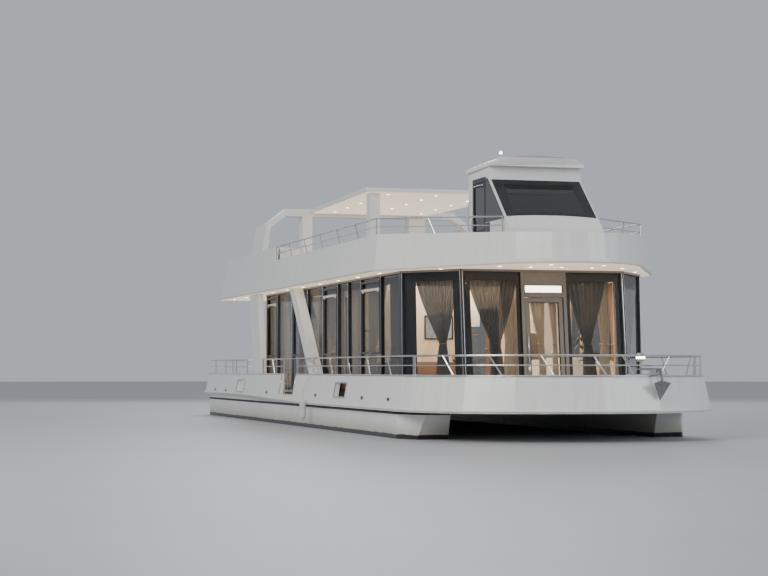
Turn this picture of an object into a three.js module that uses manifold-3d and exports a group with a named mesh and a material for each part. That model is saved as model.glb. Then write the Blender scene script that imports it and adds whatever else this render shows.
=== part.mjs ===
// A two-storey houseboat on twin pontoons, in millimetres: X points to the bow, Y to port and Z up.
// The origin lies under the middle of the boat, at the level of the flat pontoon bottoms.
import * as THREE from 'three';
import { mergeVertices } from 'three/addons/utils/BufferGeometryUtils.js';
import Module from 'manifold-3d';

const wasm = await Module();
wasm.setup();

// Driving dimensions

const GAP = 0.3;
const SIDES = { port: 1, starboard: -1 };

const PONTOON = {
  inner: 2200, outer: 3080, stern: -11500, counter: -9900, counterHeight: 660,
  bowFoot: 8300, bowWater: 9200, bowTop: 9440, waterHeight: 900, top: 1555,
  shoulderX: 8620, cheekX: 9080, cheekY: 2910, noseY: 2640,
};
const ENGINE = {
  x: -7500, length: 1150, width: 560, height: 800, floor: 450, pocketLength: 1500, pocketWidth: 680,
};
const SCREW = { x: -10480, z: 340, radius: 255, hub: 62, shaft: 35, blades: 4, bladeThick: 16, pitch: 0.62 };
const RUDDER = {
  x: -11080, chordFore: 150, chordAft: 330, foot: 60, top: 600, thick: 46, stock: 30, stockTop: 900,
};

const DECK = {
  halfLength: 11970, stern: 11989, halfBeam: 3200, shoulder: 9150, bowFullness: 0.93, bowSteps: 9,
  sternRound: 260,
  skirtFoot: 1450, sternFoot: 1555, sheerFore: 1000, sheerAft: -6000,
  floor: 1650, top: 2170, flare: 130, wall: 100,
};
const GATEWAY = { aft: -1650, fore: -150 };
const MOORING = { places: { aft: -6580, fore: 4380 }, length: 950, height: 300 };
const BOLLARD = { baseLength: 380, baseWidth: 110, baseThick: 16, apart: 120 };

const CABIN = {
  aft: -5400, shoulder: 7500, front: 8700, halfWidth: 2670, halfFront: 1760, wall: 80, seam: 1.5, top: 4310,
};
const CABIN_LEAN = { front: 280, shoulder: 80 };
const MULLIONS = [-5400, -4050, -2300, -620, 950, 2380, 3340, 4440, 6070, 7540];
const GLAZING = { sill: 120, head: 50, bar: 30 };
const FRONT_DOOR = {
  width: 840, height: 2085, threshold: 25, leaf: 48, stile: 85, edge: 12, play: 8, pivot: 40,
};
const PIN = { radius: 9, endPlay: 1.3 };
const TRANSOM = { foot: 2190, top: 2330 };
const AFT_DOOR = { starboard: -1100, port: -100, height: 2085, leaf: 42, overlap: 50, clear: 8 };

const SALOON = { wallX: 2900, wall: 60, doorFrom: 250, doorTo: 1100, doorHeight: 2050 };
const GALLEY = {
  length: 2000, inner: 1900, outer: 2540, height: 900,
  tall: 700, tallHeight: 2150, nicheFoot: 1500, nicheTop: 1750,
};
const SOFA = { seat: 420, back: 820, backDepth: 180 };
const TABLE = { x: 5600, y: -760, radius: 520, height: 750, thick: 40, foot: 280, stem: 55 };

const UPPER = {
  halfBeam: 3120, shoulder: 7100, foldX: 10200, foldY: 1500, tip: 11180, stern: -9860, sternTop: -9000,
  foot: 4310, floor: 4400, side: 5085, high: 5435, step: -2820, tipTop: 4900, lean: 120, wall: 100,
};
const STAIR = {
  footX: -10350, steps: 12, going: 250, width: 800, y: 2330, plate: 60, holeAft: -9550, holeFore: -7300,
};

const PILLAR = { topX: -1200, rake: 2100, section: 500, inner: 2715, outer: 2945 };
const FIN = { fore: -4740, fold: -5720, aft: -6600, rake: 460, inner: 2905, outer: 3055, sweep: 130 };

const PORTAL = {
  fore: -4400, beamDepth: 420, legAft: -5990, legTopAft: -5560, legOuter: 2995, legThick: 130, lean: 100,
  shoulderFoot: 6175, shoulderY: 2360, top: 6580, beamFoot: 6390,
};
// The two inner posts of the portal, which the photograph shows at unlike distances from the middle.
const PORTAL_POSTS = { starboard: [-1900, -1630], port: [1100, 1560] };
const HARDTOP = { aft: -4390, front: 1950, halfAft: 1680, halfFront: 1880, foot: 6490, top: 6580 };
const HARDTOP_LEG = { x: 1430, length: 330, inner: 1480, outer: 1720 };
const LOCKER = { aft: -4800, fore: -2830, inner: 2330, outer: 2880 };

const HOUSE = {
  aft: 6950, nose: 9500, noseZ: 5090, brow: 8290, browZ: 6170, frontTop: 6440, aftTop: 6410,
  halfWidth: 1000, wall: 55, pillar: 170, glassFoot: 5375, quarterAft: 8310, quarterTop: 5930,
};
const HOUSE_DOOR = { aft: 7190, fore: 8060, foot: 4450, top: 6250, leaf: 42, play: 8 };
const HOUSE_ROOF = {
  aft: 6930, fore: 8430, halfWidth: 1050, edge: 75, hip: 850, hipRise: 85, crown: 110,
  noseWidth: 0.97, nose: 90,
};
const CONSOLE = { aft: 8500, slopeFore: 8760, fore: 9100, low: 5130, high: 5330, halfWidth: 780 };
const HELM = {
  y: 350, wheel: 210, rim: 14, shaft: 14, reach: 120, seatX: 7700, seatFoot: 460, seatTop: 580, backTop: 1120,
};

const RAIL = { height: 370, bar: 19, mid: 12, post: 15, lean: 240, spacing: 1600, gap: 90 };
// Places of the bow rail's posts as shares of its length. They stand closer together by the anchor.
const BOW_POSTS = [0, 0.125, 0.25, 0.37, 0.495, 0.567, 0.677, 0.778, 0.89, 1];
const FLANGE = { radius: 36, thick: 12 };
const UPPER_RAIL = {
  height: 350, bar: 17, mid: 11, post: 14, lean: 300, spacing: 1500, bendX: 6830, endX: 9190,
};

const BOW_GEAR = {
  x: 11585, y: 1080, heading: 0.33, plateAft: -560, plateFore: 170, cheekFore: 230,
  rollerX: 185, rollerRise: 62, rollerRadius: 32,
};
const ANCHOR = {
  eyeX: -380, shankDeep: 36, shankHalf: 14, drop: 150, crownX: 330,
  wing: 210, fluke: 330, heel: 50, thick: 22, steep: 1.35,
};
const BOW_LAMP = { x: 10900, y: 1175, foot: 90, post: 24, height: 780 };
const FENDER = { x: 1630, y: -3330, foot: 1085, length: 530, radius: 75, rope: 9 };

// Finishes

function finish(color, roughness, metalness = 0) {
  return new THREE.MeshStandardMaterial({ color, roughness, metalness });
}

const gelcoat = finish(0xe9e7e0, 0.35);
const bottomPaint = finish(0xd9dbd8, 0.5);
const blackFrame = finish(0x1b1d20, 0.45);
const taupe = finish(0x8b8378, 0.5);
const steel = finish(0xc9ccd0, 0.22, 1);
const bronze = finish(0x9a7a43, 0.35, 1);
const iron = finish(0x3a3d40, 0.7, 0.6);
const fabric = finish(0xb9aa92, 0.9);
const timber = finish(0x8a6a48, 0.55);
const cream = finish(0xe8dfc8, 0.7);
const rope = finish(0xdedbd0, 0.9);

// Solids: three.js makes every shape, and joins and cuts run on closed meshes

function signedVolume(position, index) {
  const corner = [new THREE.Vector3(), new THREE.Vector3(), new THREE.Vector3()];
  let sum = 0;
  for (let i = 0; i < index.length; i += 3) {
    corner.forEach((v, k) => v.fromArray(position, 3 * index[i + k]));
    sum += corner[0].dot(corner[1].cross(corner[2]));
  }
  return sum;
}

function solid(geometry) {
  const bare = geometry.clone();
  bare.deleteAttribute('normal');
  bare.deleteAttribute('uv');
  const merged = mergeVertices(bare, 0.001);
  const vertProperties = merged.attributes.position.array;
  const triVerts = Uint32Array.from(merged.index.array);
  if (signedVolume(vertProperties, triVerts) < 0) {
    for (let i = 0; i < triVerts.length; i += 3) {
      [triVerts[i], triVerts[i + 1]] = [triVerts[i + 1], triVerts[i]];
    }
  }
  return new wasm.Manifold(new wasm.Mesh({ numProp: 3, vertProperties, triVerts }));
}

function geometryOf(body) {
  const { vertProperties, triVerts } = body.getMesh();
  const geometry = new THREE.BufferGeometry();
  geometry.setAttribute('position', new THREE.BufferAttribute(Float32Array.from(vertProperties), 3));
  geometry.setIndex(new THREE.BufferAttribute(Uint32Array.from(triVerts), 1));
  geometry.computeVertexNormals();
  return geometry;
}

const join = (bodies) => bodies.reduce((whole, body) => whole.add(body));
const cut = (body, tools) => tools.reduce((rest, tool) => rest.subtract(tool), body);

// Moves every vertex of a geometry by a rule on its position.
function bend(geometry, rule) {
  const place = geometry.attributes.position;
  const point = new THREE.Vector3();
  for (let i = 0; i < place.count; i += 1) {
    rule(point.fromBufferAttribute(place, i));
    place.setXYZ(i, point.x, point.y, point.z);
  }
  return geometry;
}

function block(x0, x1, y0, y1, z0, z1) {
  const box = new THREE.BoxGeometry(Math.abs(x1 - x0), Math.abs(y1 - y0), Math.abs(z1 - z0));
  return solid(box.translate((x0 + x1) / 2, (y0 + y1) / 2, (z0 + z1) / 2));
}

const outline = (points) => new THREE.Shape(points.map(([x, y]) => new THREE.Vector2(x, y)));

// A plan shape raised from z0 to z1, its top scaled along X and Y for walls that lean.
function raised(shape, z0, z1, footScale = [1, 1], topScale = footScale) {
  const geometry = new THREE.ExtrudeGeometry(shape, { depth: 1, bevelEnabled: false, curveSegments: 5 });
  return solid(bend(geometry, (p) => {
    p.x *= footScale[0] + (topScale[0] - footScale[0]) * p.z;
    p.y *= footScale[1] + (topScale[1] - footScale[1]) * p.z;
    p.z = z0 + (z1 - z0) * p.z;
  }));
}

// A side view in X and Z, carried across the boat from y0 to y1.
function acrossFrom(points, y0, y1) {
  const geometry = new THREE.ExtrudeGeometry(outline(points), { depth: 1, bevelEnabled: false });
  return bend(geometry, (p) => p.set(p.x, y0 + (y1 - y0) * p.z, p.y));
}

// A front view in Y and Z, carried along the boat from x0 to x1.
function alongFrom(shape, x0, x1) {
  const geometry = new THREE.ExtrudeGeometry(shape, { depth: 1, bevelEnabled: false });
  return bend(geometry, (p) => p.set(x0 + (x1 - x0) * p.z, p.x, p.y));
}

function rod(from, to, radius, sides = 6) {
  const a = new THREE.Vector3(...from);
  const b = new THREE.Vector3(...to);
  const geometry = new THREE.CylinderGeometry(radius, radius, a.distanceTo(b), sides);
  const along = b.clone().sub(a).normalize();
  const turn = new THREE.Quaternion().setFromUnitVectors(new THREE.Vector3(0, 1, 0), along);
  return solid(geometry.applyQuaternion(turn).translate(...a.add(b).multiplyScalar(0.5)));
}

function ball(at, radius) {
  return solid(new THREE.SphereGeometry(radius, 8, 6).translate(...at));
}

function pipe(points, radius) {
  const runs = points.slice(1).map((point, i) => rod(points[i], point, radius, 8));
  const bends = points.slice(1, -1).map((point) => ball(point, radius * 1.02));
  return join([...runs, ...bends]);
}

// A tube with a round section, swept along a smooth curve through its points.
function sweep(points, radius, steps, sides = 8) {
  const ring = new THREE.Shape();
  for (let i = 0; i < sides; i += 1) {
    const turn = (2 * Math.PI * i) / sides;
    ring[i === 0 ? 'moveTo' : 'lineTo'](radius * Math.cos(turn), radius * Math.sin(turn));
  }
  const extrudePath = new THREE.CatmullRomCurve3(points.map((point) => new THREE.Vector3(...point)));
  return solid(new THREE.ExtrudeGeometry(ring, { steps, extrudePath, bevelEnabled: false }));
}

const boat = new THREE.Group();

function piece(name, body, material) {
  const mesh = new THREE.Mesh(geometryOf(body), material);
  mesh.name = name;
  boat.add(mesh);
}

// Pontoons, with engines, propellers and rudders

// A bore with flat facets that a round shaft can turn in.
function bore(from, to, shaft) {
  const sides = 16;
  return rod(from, to, (shaft + GAP) / Math.cos(Math.PI / sides), sides);
}

function pontoon(side) {
  const P = PONTOON;
  const profile = [
    [P.counter, 0], [P.bowFoot, 0], [P.bowWater, P.waterHeight], [P.bowTop, P.top - GAP],
    [P.stern, P.top - GAP], [P.stern, P.counterHeight + 60], [P.counter - 220, P.counterHeight],
  ];
  const plan = outline([
    [P.stern - 50, side * P.inner], [P.bowTop + 50, side * P.inner],
    [P.bowTop + 50, side * P.noseY], [P.cheekX, side * P.cheekY], [P.shoulderX, side * P.outer],
    [P.stern - 50, side * P.outer],
  ]);
  const middle = side * (P.inner + P.outer) / 2;
  const E = ENGINE;
  const pocket = block(E.x - E.pocketLength / 2, E.x + E.pocketLength / 2,
    middle - E.pocketWidth / 2, middle + E.pocketWidth / 2, E.floor, P.top + 10);
  const shaftBore = bore([P.counter - 400, middle, SCREW.z], [P.counter + 400, middle, SCREW.z], SCREW.shaft);
  const stockBore = bore([RUDDER.x, middle, 500], [RUDDER.x, middle, RUDDER.stockTop + GAP], RUDDER.stock);
  const hull = solid(acrossFrom(profile, side * (P.inner - 10), side * (P.outer + 10)));
  return cut(hull.intersect(raised(plan, -10, P.top + 50)), [pocket, shaftBore, stockBore]);
}

function engine(side) {
  const E = ENGINE;
  const middle = side * (PONTOON.inner + PONTOON.outer) / 2;
  return block(E.x - E.length / 2, E.x + E.length / 2, middle - E.width / 2, middle + E.width / 2,
    E.floor + GAP, E.floor + GAP + E.height);
}

function propeller(side) {
  const S = SCREW;
  const middle = side * (PONTOON.inner + PONTOON.outer) / 2;
  const blade = new THREE.Shape();
  blade.moveTo(-30, 20);
  blade.bezierCurveTo(-110, S.radius * 0.45, -100, S.radius, 0, S.radius);
  blade.bezierCurveTo(100, S.radius, 110, S.radius * 0.45, 30, 20);
  const flat = new THREE.ExtrudeGeometry(blade,
    { depth: S.bladeThick, bevelEnabled: false, curveSegments: 6 });
  flat.translate(0, 0, -S.bladeThick / 2).rotateY(S.pitch * side);
  const hub = new THREE.LatheGeometry(
    [[0, -95], [30, -85], [S.hub, -30], [S.hub, 90], [0, 90]].map(([r, y]) => new THREE.Vector2(r, y)), 16);
  const parts = [solid(hub.rotateX(Math.PI / 2))];
  for (let i = 0; i < S.blades; i += 1) {
    parts.push(solid(flat.clone().rotateZ((2 * Math.PI * i) / S.blades)));
  }
  const screw = join(parts).rotate([0, 90, 0]).translate([S.x, middle, S.z]);
  return screw.add(rod([S.x, middle, S.z], [PONTOON.counter + 380, middle, S.z], S.shaft, 16));
}

function rudder(side) {
  const R = RUDDER;
  const middle = side * (PONTOON.inner + PONTOON.outer) / 2;
  const section = new THREE.Shape();
  section.moveTo(R.x - R.chordAft, middle - 4);
  section.lineTo(R.x, middle - R.thick / 2);
  section.quadraticCurveTo(R.x + R.chordFore, middle - R.thick / 2, R.x + R.chordFore, middle);
  section.quadraticCurveTo(R.x + R.chordFore, middle + R.thick / 2, R.x, middle + R.thick / 2);
  section.lineTo(R.x - R.chordAft, middle + 4);
  const blade = raised(section, R.foot, R.top);
  return blade.add(rod([R.x, middle, R.foot + 200], [R.x, middle, R.stockTop], R.stock, 16));
}

for (const [name, side] of Object.entries(SIDES)) {
  piece(`${name}_pontoon`, pontoon(side), bottomPaint);
  piece(`${name}_engine`, engine(side), iron);
  piece(`${name}_propeller`, propeller(side), bronze);
  piece(`${name}_rudder`, rudder(side), bronze);
}

// Main deck: a slab with a flared bulwark around it, whose skirt hangs outside the pontoons

// The bow is a superellipse from shoulder to shoulder: a full curve with its flattest part at the tip.
function bowCurve() {
  const D = DECK;
  return Array.from({ length: 2 * D.bowSteps + 1 }, (_, i) => {
    const turn = ((i / D.bowSteps - 1) * Math.PI) / 2;
    const out = Math.abs(Math.sin(turn)) ** D.bowFullness;
    return [D.shoulder + (D.halfLength - D.shoulder) * Math.cos(turn) ** D.bowFullness,
      Math.sign(turn) * D.halfBeam * out];
  });
}

function deckPlan() {
  const D = DECK;
  const shape = new THREE.Shape();
  shape.moveTo(-D.stern, -(D.halfBeam - D.sternRound));
  shape.quadraticCurveTo(-D.stern, -D.halfBeam, -D.stern + D.sternRound, -D.halfBeam);
  for (const [x, y] of bowCurve()) {
    shape.lineTo(x, y);
  }
  shape.lineTo(-D.stern + D.sternRound, D.halfBeam);
  shape.quadraticCurveTo(-D.stern, D.halfBeam, -D.stern, D.halfBeam - D.sternRound);
  return shape;
}

const shrink = (amount, of) => [1 - amount / of[0], 1 - amount / of[1]];
const deckSize = [DECK.halfLength, DECK.halfBeam];

// How far the flared side stands in from its foot at a height.
const flareAt = (z) => (DECK.flare * (z - DECK.skirtFoot)) / (DECK.top - DECK.skirtFoot);

function mainDeck() {
  const D = DECK;
  const shell = raised(deckPlan(), D.skirtFoot, D.top, [1, 1], shrink(D.flare, deckSize));
  const well = raised(deckPlan(), D.floor, D.top + 20,
    shrink(flareAt(D.floor) + D.wall, deckSize), shrink(flareAt(D.top + 20) + D.wall, deckSize));
  const under = raised(deckPlan(), D.skirtFoot - 20, D.sternFoot, shrink(D.wall, deckSize));
  const sheer = [[D.sheerFore, D.skirtFoot], [D.sheerAft, D.sternFoot - GAP], [-12500, D.sternFoot - GAP],
    [-12500, 1300], [D.sheerFore, 1300]];
  const wide = D.halfBeam + 100;
  const tools = [well, under, solid(acrossFrom(sheer, -wide, wide))];
  tools.push(block(GATEWAY.aft, GATEWAY.fore, -wide, -D.halfBeam + 300, D.floor, D.top + 20));
  for (const x of Object.values(MOORING.places)) {
    for (const side of Object.values(SIDES)) {
      tools.push(block(x - MOORING.length / 2, x + MOORING.length / 2, side * wide, side * (D.halfBeam - 300),
        D.floor + 20, D.floor + 20 + MOORING.height));
    }
  }
  return cut(shell, tools);
}
piece('main_deck', mainDeck(), gelcoat);

// Bollards behind the mooring openings

function bollard(x, side) {
  const y = side * (DECK.halfBeam - 330);
  const { baseLength, baseWidth, baseThick, apart } = BOLLARD;
  const base = block(x - baseLength / 2, x + baseLength / 2, y - baseWidth / 2, y + baseWidth / 2,
    DECK.floor + GAP, DECK.floor + baseThick);
  const head = [[0, 0], [34, 0], [34, 150], [52, 165], [52, 196], [0, 196]];
  const post = new THREE.LatheGeometry(head.map(([r, h]) => new THREE.Vector2(r, h)), 12);
  post.rotateX(Math.PI / 2).translate(0, y, DECK.floor + 10);
  const posts = [-apart, apart].map((shift) => solid(post.clone().translate(x + shift, 0, 0)));
  return join([base, ...posts]);
}
for (const [end, x] of Object.entries(MOORING.places)) {
  for (const [name, side] of Object.entries(SIDES)) {
    piece(`${name}_${end}_bollard`, bollard(x, side), steel);
  }
}

// Cabin walls: six panels between the corners of the glass house, each with its windows cut

function cornersAt(lean) {
  const { aft, shoulder, front, halfWidth, halfFront } = CABIN;
  return [
    [aft, halfWidth], [shoulder + lean.shoulder, halfWidth], [front + lean.front, halfFront],
    [front + lean.front, -halfFront], [shoulder + lean.shoulder, -halfWidth], [aft, -halfWidth],
  ];
}

// The same corners moved in by the wall's thickness, with mitred ends.
function insetCorners(corners, depth) {
  const n = corners.length;
  const line = (i) => {
    const [ax, ay] = corners[i % n];
    const [bx, by] = corners[(i + 1) % n];
    const length = Math.hypot(bx - ax, by - ay);
    const normal = [(by - ay) / length, -(bx - ax) / length];
    return { normal, offset: normal[0] * ax + normal[1] * ay + depth };
  };
  return corners.map((_, i) => {
    const [one, two] = [line(i + n - 1), line(i)];
    const det = one.normal[0] * two.normal[1] - one.normal[1] * two.normal[0];
    return [(one.offset * two.normal[1] - two.offset * one.normal[1]) / det,
      (two.offset * one.normal[0] - one.offset * two.normal[0]) / det];
  });
}

const cabinFoot = { z: DECK.floor + GAP, outer: cornersAt(CABIN_LEAN) };
const cabinTop = { z: CABIN.top - GAP, outer: cornersAt({ front: 0, shoulder: 0 }) };
for (const level of [cabinFoot, cabinTop]) {
  level.inner = insetCorners(level.outer, CABIN.wall);
}
const cabinHeight = cabinTop.z - cabinFoot.z;

function wallLength(wall) {
  const [a, b] = [cabinFoot.outer[wall], cabinFoot.outer[(wall + 1) % 6]];
  return Math.hypot(b[0] - a[0], b[1] - a[1]);
}

// Carries a drawing (x along the wall, y up, z inwards from the outer face) to the wall's place.
function ontoWall(geometry, wall) {
  const length = wallLength(wall);
  const next = (wall + 1) % 6;
  const mix = (a, b, t) => a + (b - a) * t;
  return bend(geometry, (p) => {
    const [u, v, w] = [p.x / length, p.y / cabinHeight, p.z / CABIN.wall];
    const at = (axis) => {
      const level = ({ outer, inner }) => mix(mix(outer[wall][axis], outer[next][axis], u),
        mix(inner[wall][axis], inner[next][axis], u), w);
      return mix(level(cabinFoot), level(cabinTop), v);
    };
    p.set(at(0), at(1), mix(cabinFoot.z, cabinTop.z, v));
  });
}

function wallPoint(wall, s, t, d) {
  const point = new THREE.BufferGeometry().setFromPoints([new THREE.Vector3(s, t, d)]);
  return [...ontoWall(point, wall).attributes.position.array];
}

// A flat board in a wall: s along the wall, t above its foot and d inwards from its outer face.
function board(wall, [s0, s1, t0, t1], d0, d1) {
  const box = new THREE.BoxGeometry(s1 - s0, t1 - t0, d1 - d0);
  return solid(ontoWall(box.translate((s0 + s1) / 2, (t0 + t1) / 2, (d0 + d1) / 2), wall));
}

function wallPanel(wall, holes) {
  const panel = board(wall, [CABIN.seam, wallLength(wall) - CABIN.seam, 0, cabinHeight], 0, CABIN.wall);
  return cut(panel, holes.map((hole) => board(wall, hole, -30, CABIN.wall + 30)));
}

const WALLS = { port: 0, portBow: 1, front: 2, starboardBow: 3, starboard: 4, aft: 5 };
const glassTop = cabinHeight - GLAZING.head;

const sideWindows = MULLIONS.slice(1).map((fore, i) => [MULLIONS[i] + GLAZING.bar, fore - GLAZING.bar]);
sideWindows[0][0] += GLAZING.bar + 30;
sideWindows[sideWindows.length - 1][1] -= GLAZING.bar + 30;
const portHoles = sideWindows.map(([a, f]) => [a - CABIN.aft, f - CABIN.aft, GLAZING.sill, glassTop]);
const starboardHoles = portHoles.map(([a, f, z0, z1]) => [wallLength(4) - f, wallLength(4) - a, z0, z1]);
const bowHole = (wall) => [[70, wallLength(wall) - 70, GLAZING.sill, glassTop]];

const frontMiddle = CABIN.halfFront;
const doorway = [frontMiddle - FRONT_DOOR.width / 2, frontMiddle + FRONT_DOOR.width / 2];
const frontHoles = [
  [60, doorway[0] - 75, GLAZING.sill, glassTop],
  [doorway[1] + 75, 2 * frontMiddle - 60, GLAZING.sill, glassTop],
  [...doorway, FRONT_DOOR.threshold, FRONT_DOOR.height],
  [doorway[0] + 20, doorway[1] - 20, TRANSOM.foot, TRANSOM.top],
];
const aftS = (y) => y + CABIN.halfWidth;
const aftHoles = [
  [90, aftS(AFT_DOOR.starboard) - 60, GLAZING.sill, glassTop],
  [aftS(AFT_DOOR.starboard), aftS(AFT_DOOR.port), FRONT_DOOR.threshold, AFT_DOOR.height],
  [aftS(AFT_DOOR.port) + 60, aftS(AFT_DOOR.port) + 1260, GLAZING.sill, glassTop],
  [aftS(AFT_DOOR.port) + 1320, 2 * CABIN.halfWidth - 90, GLAZING.sill, glassTop],
];
piece('port_cabin_wall', wallPanel(WALLS.port, portHoles), blackFrame);
piece('port_bow_cabin_wall', wallPanel(WALLS.portBow, bowHole(1)), blackFrame);
piece('front_cabin_wall', wallPanel(WALLS.front, frontHoles), blackFrame);
piece('starboard_bow_cabin_wall', wallPanel(WALLS.starboardBow, bowHole(3)), blackFrame);
piece('starboard_cabin_wall', wallPanel(WALLS.starboard, starboardHoles), blackFrame);
piece('aft_cabin_wall', wallPanel(WALLS.aft, aftHoles), blackFrame);

// Front door: a glazed leaf that turns on a pin at its port edge, leaning with the wall

function frontDoor() {
  const F = FRONT_DOOR;
  const [s0, s1] = [doorway[0] + F.edge, doorway[1] - F.play];
  const [z0, z1] = [F.threshold + F.play, F.height - F.play];
  const inset = (CABIN.wall - F.leaf) / 2;
  const leaf = board(WALLS.front, [s0, s1, z0, z1], inset, inset + F.leaf);
  const pane = board(WALLS.front, [s0 + F.stile, s1 - F.stile, z0 + 2 * F.stile, z1 - F.stile],
    -20, CABIN.wall + 20);
  const [foot, head] = [F.threshold + PIN.endPlay, F.height - PIN.endPlay].map((t) => (
    wallPoint(WALLS.front, s0 + F.pivot, t, CABIN.wall / 2)));
  return leaf.subtract(pane).add(rod(foot, head, PIN.radius, 12));
}
piece('front_door', frontDoor(), taupe);

// Aft door: a glazed leaf on two rollers, which slides to port behind the aft wall

function aftDoor() {
  const A = AFT_DOOR;
  const x1 = CABIN.aft - A.clear;
  const x0 = x1 - A.leaf;
  const [y0, y1] = [A.starboard - A.overlap, A.port + A.overlap];
  const leaf = block(x0, x1, y0, y1, DECK.floor + 12, DECK.floor + A.height + A.overlap);
  const pane = block(x0 - 10, x1 + 10, y0 + 90, y1 - 90, DECK.floor + 170, DECK.floor + A.height - 60);
  const rollers = [y0 + 160, y1 - 160].map((y) => rod([x0 + 8, y, DECK.floor + 18 + GAP],
    [x1 - 8, y, DECK.floor + 18 + GAP], 18, 16));
  return join([leaf.subtract(pane), ...rollers]);
}
piece('aft_door', aftDoor(), taupe);

// Saloon: a cross wall with a doorway, galley units, sofas and a table

function saloonWall() {
  const S = SALOON;
  const half = CABIN.halfWidth - CABIN.wall - GAP;
  const panel = block(S.wallX, S.wallX + S.wall, -half, half, DECK.floor + GAP, CABIN.top - GAP);
  return panel.subtract(block(S.wallX - 10, S.wallX + S.wall + 10, S.doorFrom, S.doorTo, DECK.floor - 10,
    DECK.floor + S.doorHeight));
}
piece('saloon_wall', saloonWall(), cream);

function galley() {
  const G = GALLEY;
  const x0 = SALOON.wallX + SALOON.wall + GAP;
  const floor = DECK.floor + GAP;
  const counter = block(x0, x0 + G.length, G.inner, G.outer, floor, floor + G.height);
  const upper = block(x0, x0 + G.tall, G.inner, G.outer, floor + G.height - 50, floor + G.tallHeight);
  const niche = block(x0 + 40, x0 + G.tall - 40, G.inner - 50, G.outer - 40,
    floor + G.nicheFoot, floor + G.nicheTop);
  return counter.add(upper).subtract(niche);
}
piece('galley_units', galley(), gelcoat);

// A sofa between two frames, with its back at the hull side and its seat edge inboard.
function sofa(aft, fore, outer, inner) {
  const floor = DECK.floor + GAP;
  const seat = block(aft, fore, outer, inner, floor, floor + SOFA.seat);
  const backInner = outer + Math.sign(inner - outer) * SOFA.backDepth;
  const back = block(aft, fore, outer, backInner, floor, floor + SOFA.back);
  return seat.add(back);
}
piece('starboard_sofa', sofa(4300, 6900, -2480, -1680), fabric);
piece('port_sofa', sofa(5600, 7300, 2480, 1720), fabric);

function table() {
  const T = TABLE;
  const floor = DECK.floor + GAP;
  return join([
    rod([T.x, T.y, floor + T.height - T.thick], [T.x, T.y, floor + T.height], T.radius, 24),
    rod([T.x, T.y, floor], [T.x, T.y, floor + 30], T.foot, 20),
    rod([T.x, T.y, floor + 10], [T.x, T.y, floor + T.height - T.thick / 2], T.stem, 12),
  ]);
}
piece('saloon_table', table(), timber);

// Pillars and fins that carry the upper deck outside the glass

function pillar(side) {
  const P = PILLAR;
  const height = UPPER.foot - DECK.top;
  const xAt = (z) => P.topX + (P.rake * (UPPER.foot - z)) / height;
  const [z0, z1] = [DECK.floor + GAP, UPPER.foot - GAP];
  const half = P.section / 2;
  const profile = [[xAt(z0) - half, z0], [xAt(z0) + half, z0], [xAt(z1) + half, z1], [xAt(z1) - half, z1]];
  return solid(acrossFrom(profile, side * P.inner, side * P.outer));
}

function fin(side) {
  const F = FIN;
  const plan = outline([
    [F.aft, side * (F.inner - F.sweep)], [F.fold, side * F.inner], [F.fore, side * F.inner],
    [F.fore, side * F.outer], [F.fold, side * F.outer], [F.aft, side * (F.outer - F.sweep - 60)],
  ]);
  const geometry = new THREE.ExtrudeGeometry(plan, { depth: 1, bevelEnabled: false });
  return solid(bend(geometry, (p) => {
    p.x += F.rake * (1 - p.z);
    p.z = DECK.top + GAP + (UPPER.foot - DECK.top - 2 * GAP) * p.z;
  }));
}
for (const [name, side] of Object.entries(SIDES)) {
  piece(`${name}_raked_pillar`, pillar(side), gelcoat);
  piece(`${name}_aft_fin`, fin(side), gelcoat);
}

// Upper deck: a slab with a leaning parapet, high at the stern and lower at the bow

function upperPlan() {
  const U = UPPER;
  const shape = new THREE.Shape();
  shape.moveTo(U.stern, -U.halfBeam);
  shape.lineTo(U.shoulder, -U.halfBeam);
  shape.lineTo(U.foldX, -U.foldY);
  shape.quadraticCurveTo(U.tip, -U.foldY * 0.62, U.tip, 0);
  shape.quadraticCurveTo(U.tip, U.foldY * 0.62, U.foldX, U.foldY);
  shape.lineTo(U.shoulder, U.halfBeam);
  shape.lineTo(U.stern, U.halfBeam);
  return shape;
}

const upperSize = [UPPER.tip, UPPER.halfBeam];
const upperLeanAt = (z) => (UPPER.lean * (z - UPPER.foot)) / (UPPER.high - UPPER.foot);

function upperDeck() {
  const U = UPPER;
  const over = U.high + 20;
  const shell = raised(upperPlan(), U.foot, over, [1, 1], shrink(upperLeanAt(over), upperSize));
  const well = raised(upperPlan(), U.floor, over + 20,
    shrink(upperLeanAt(U.floor) + U.wall, upperSize), shrink(upperLeanAt(over + 20) + U.wall, upperSize));
  const sternSlope = (U.sternTop - U.stern) / (U.high - U.foot);
  const sternAt = (z, inset) => U.stern + inset + sternSlope * (z - U.foot);
  const wide = U.halfBeam + 100;
  const side = [
    [sternAt(U.foot, 0), U.foot], [U.tip + 100, U.foot], [U.tip + 100, U.tipTop], [U.tip, U.tipTop],
    [U.shoulder, U.side], [U.step + 25, U.side], [U.step, U.high], [sternAt(U.high, 0), U.high],
  ];
  const inside = [[sternAt(U.floor, U.wall), U.floor - 5], [U.tip + 100, U.floor - 5],
    [U.tip + 100, over + 30], [sternAt(over + 30, U.wall), over + 30]];
  const walled = shell.intersect(solid(acrossFrom(side, -wide, wide)));
  const room = well.intersect(solid(acrossFrom(inside, -wide, wide)));
  const wellHalf = STAIR.width / 2 + 60;
  const stairwell = block(STAIR.holeAft, STAIR.holeFore, STAIR.y - wellHalf, STAIR.y + wellHalf,
    U.foot - 20, U.floor + 20);
  return cut(walled, [room, stairwell]);
}
piece('upper_deck', upperDeck(), gelcoat);

// Stairs from the aft cockpit to the upper deck

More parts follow.
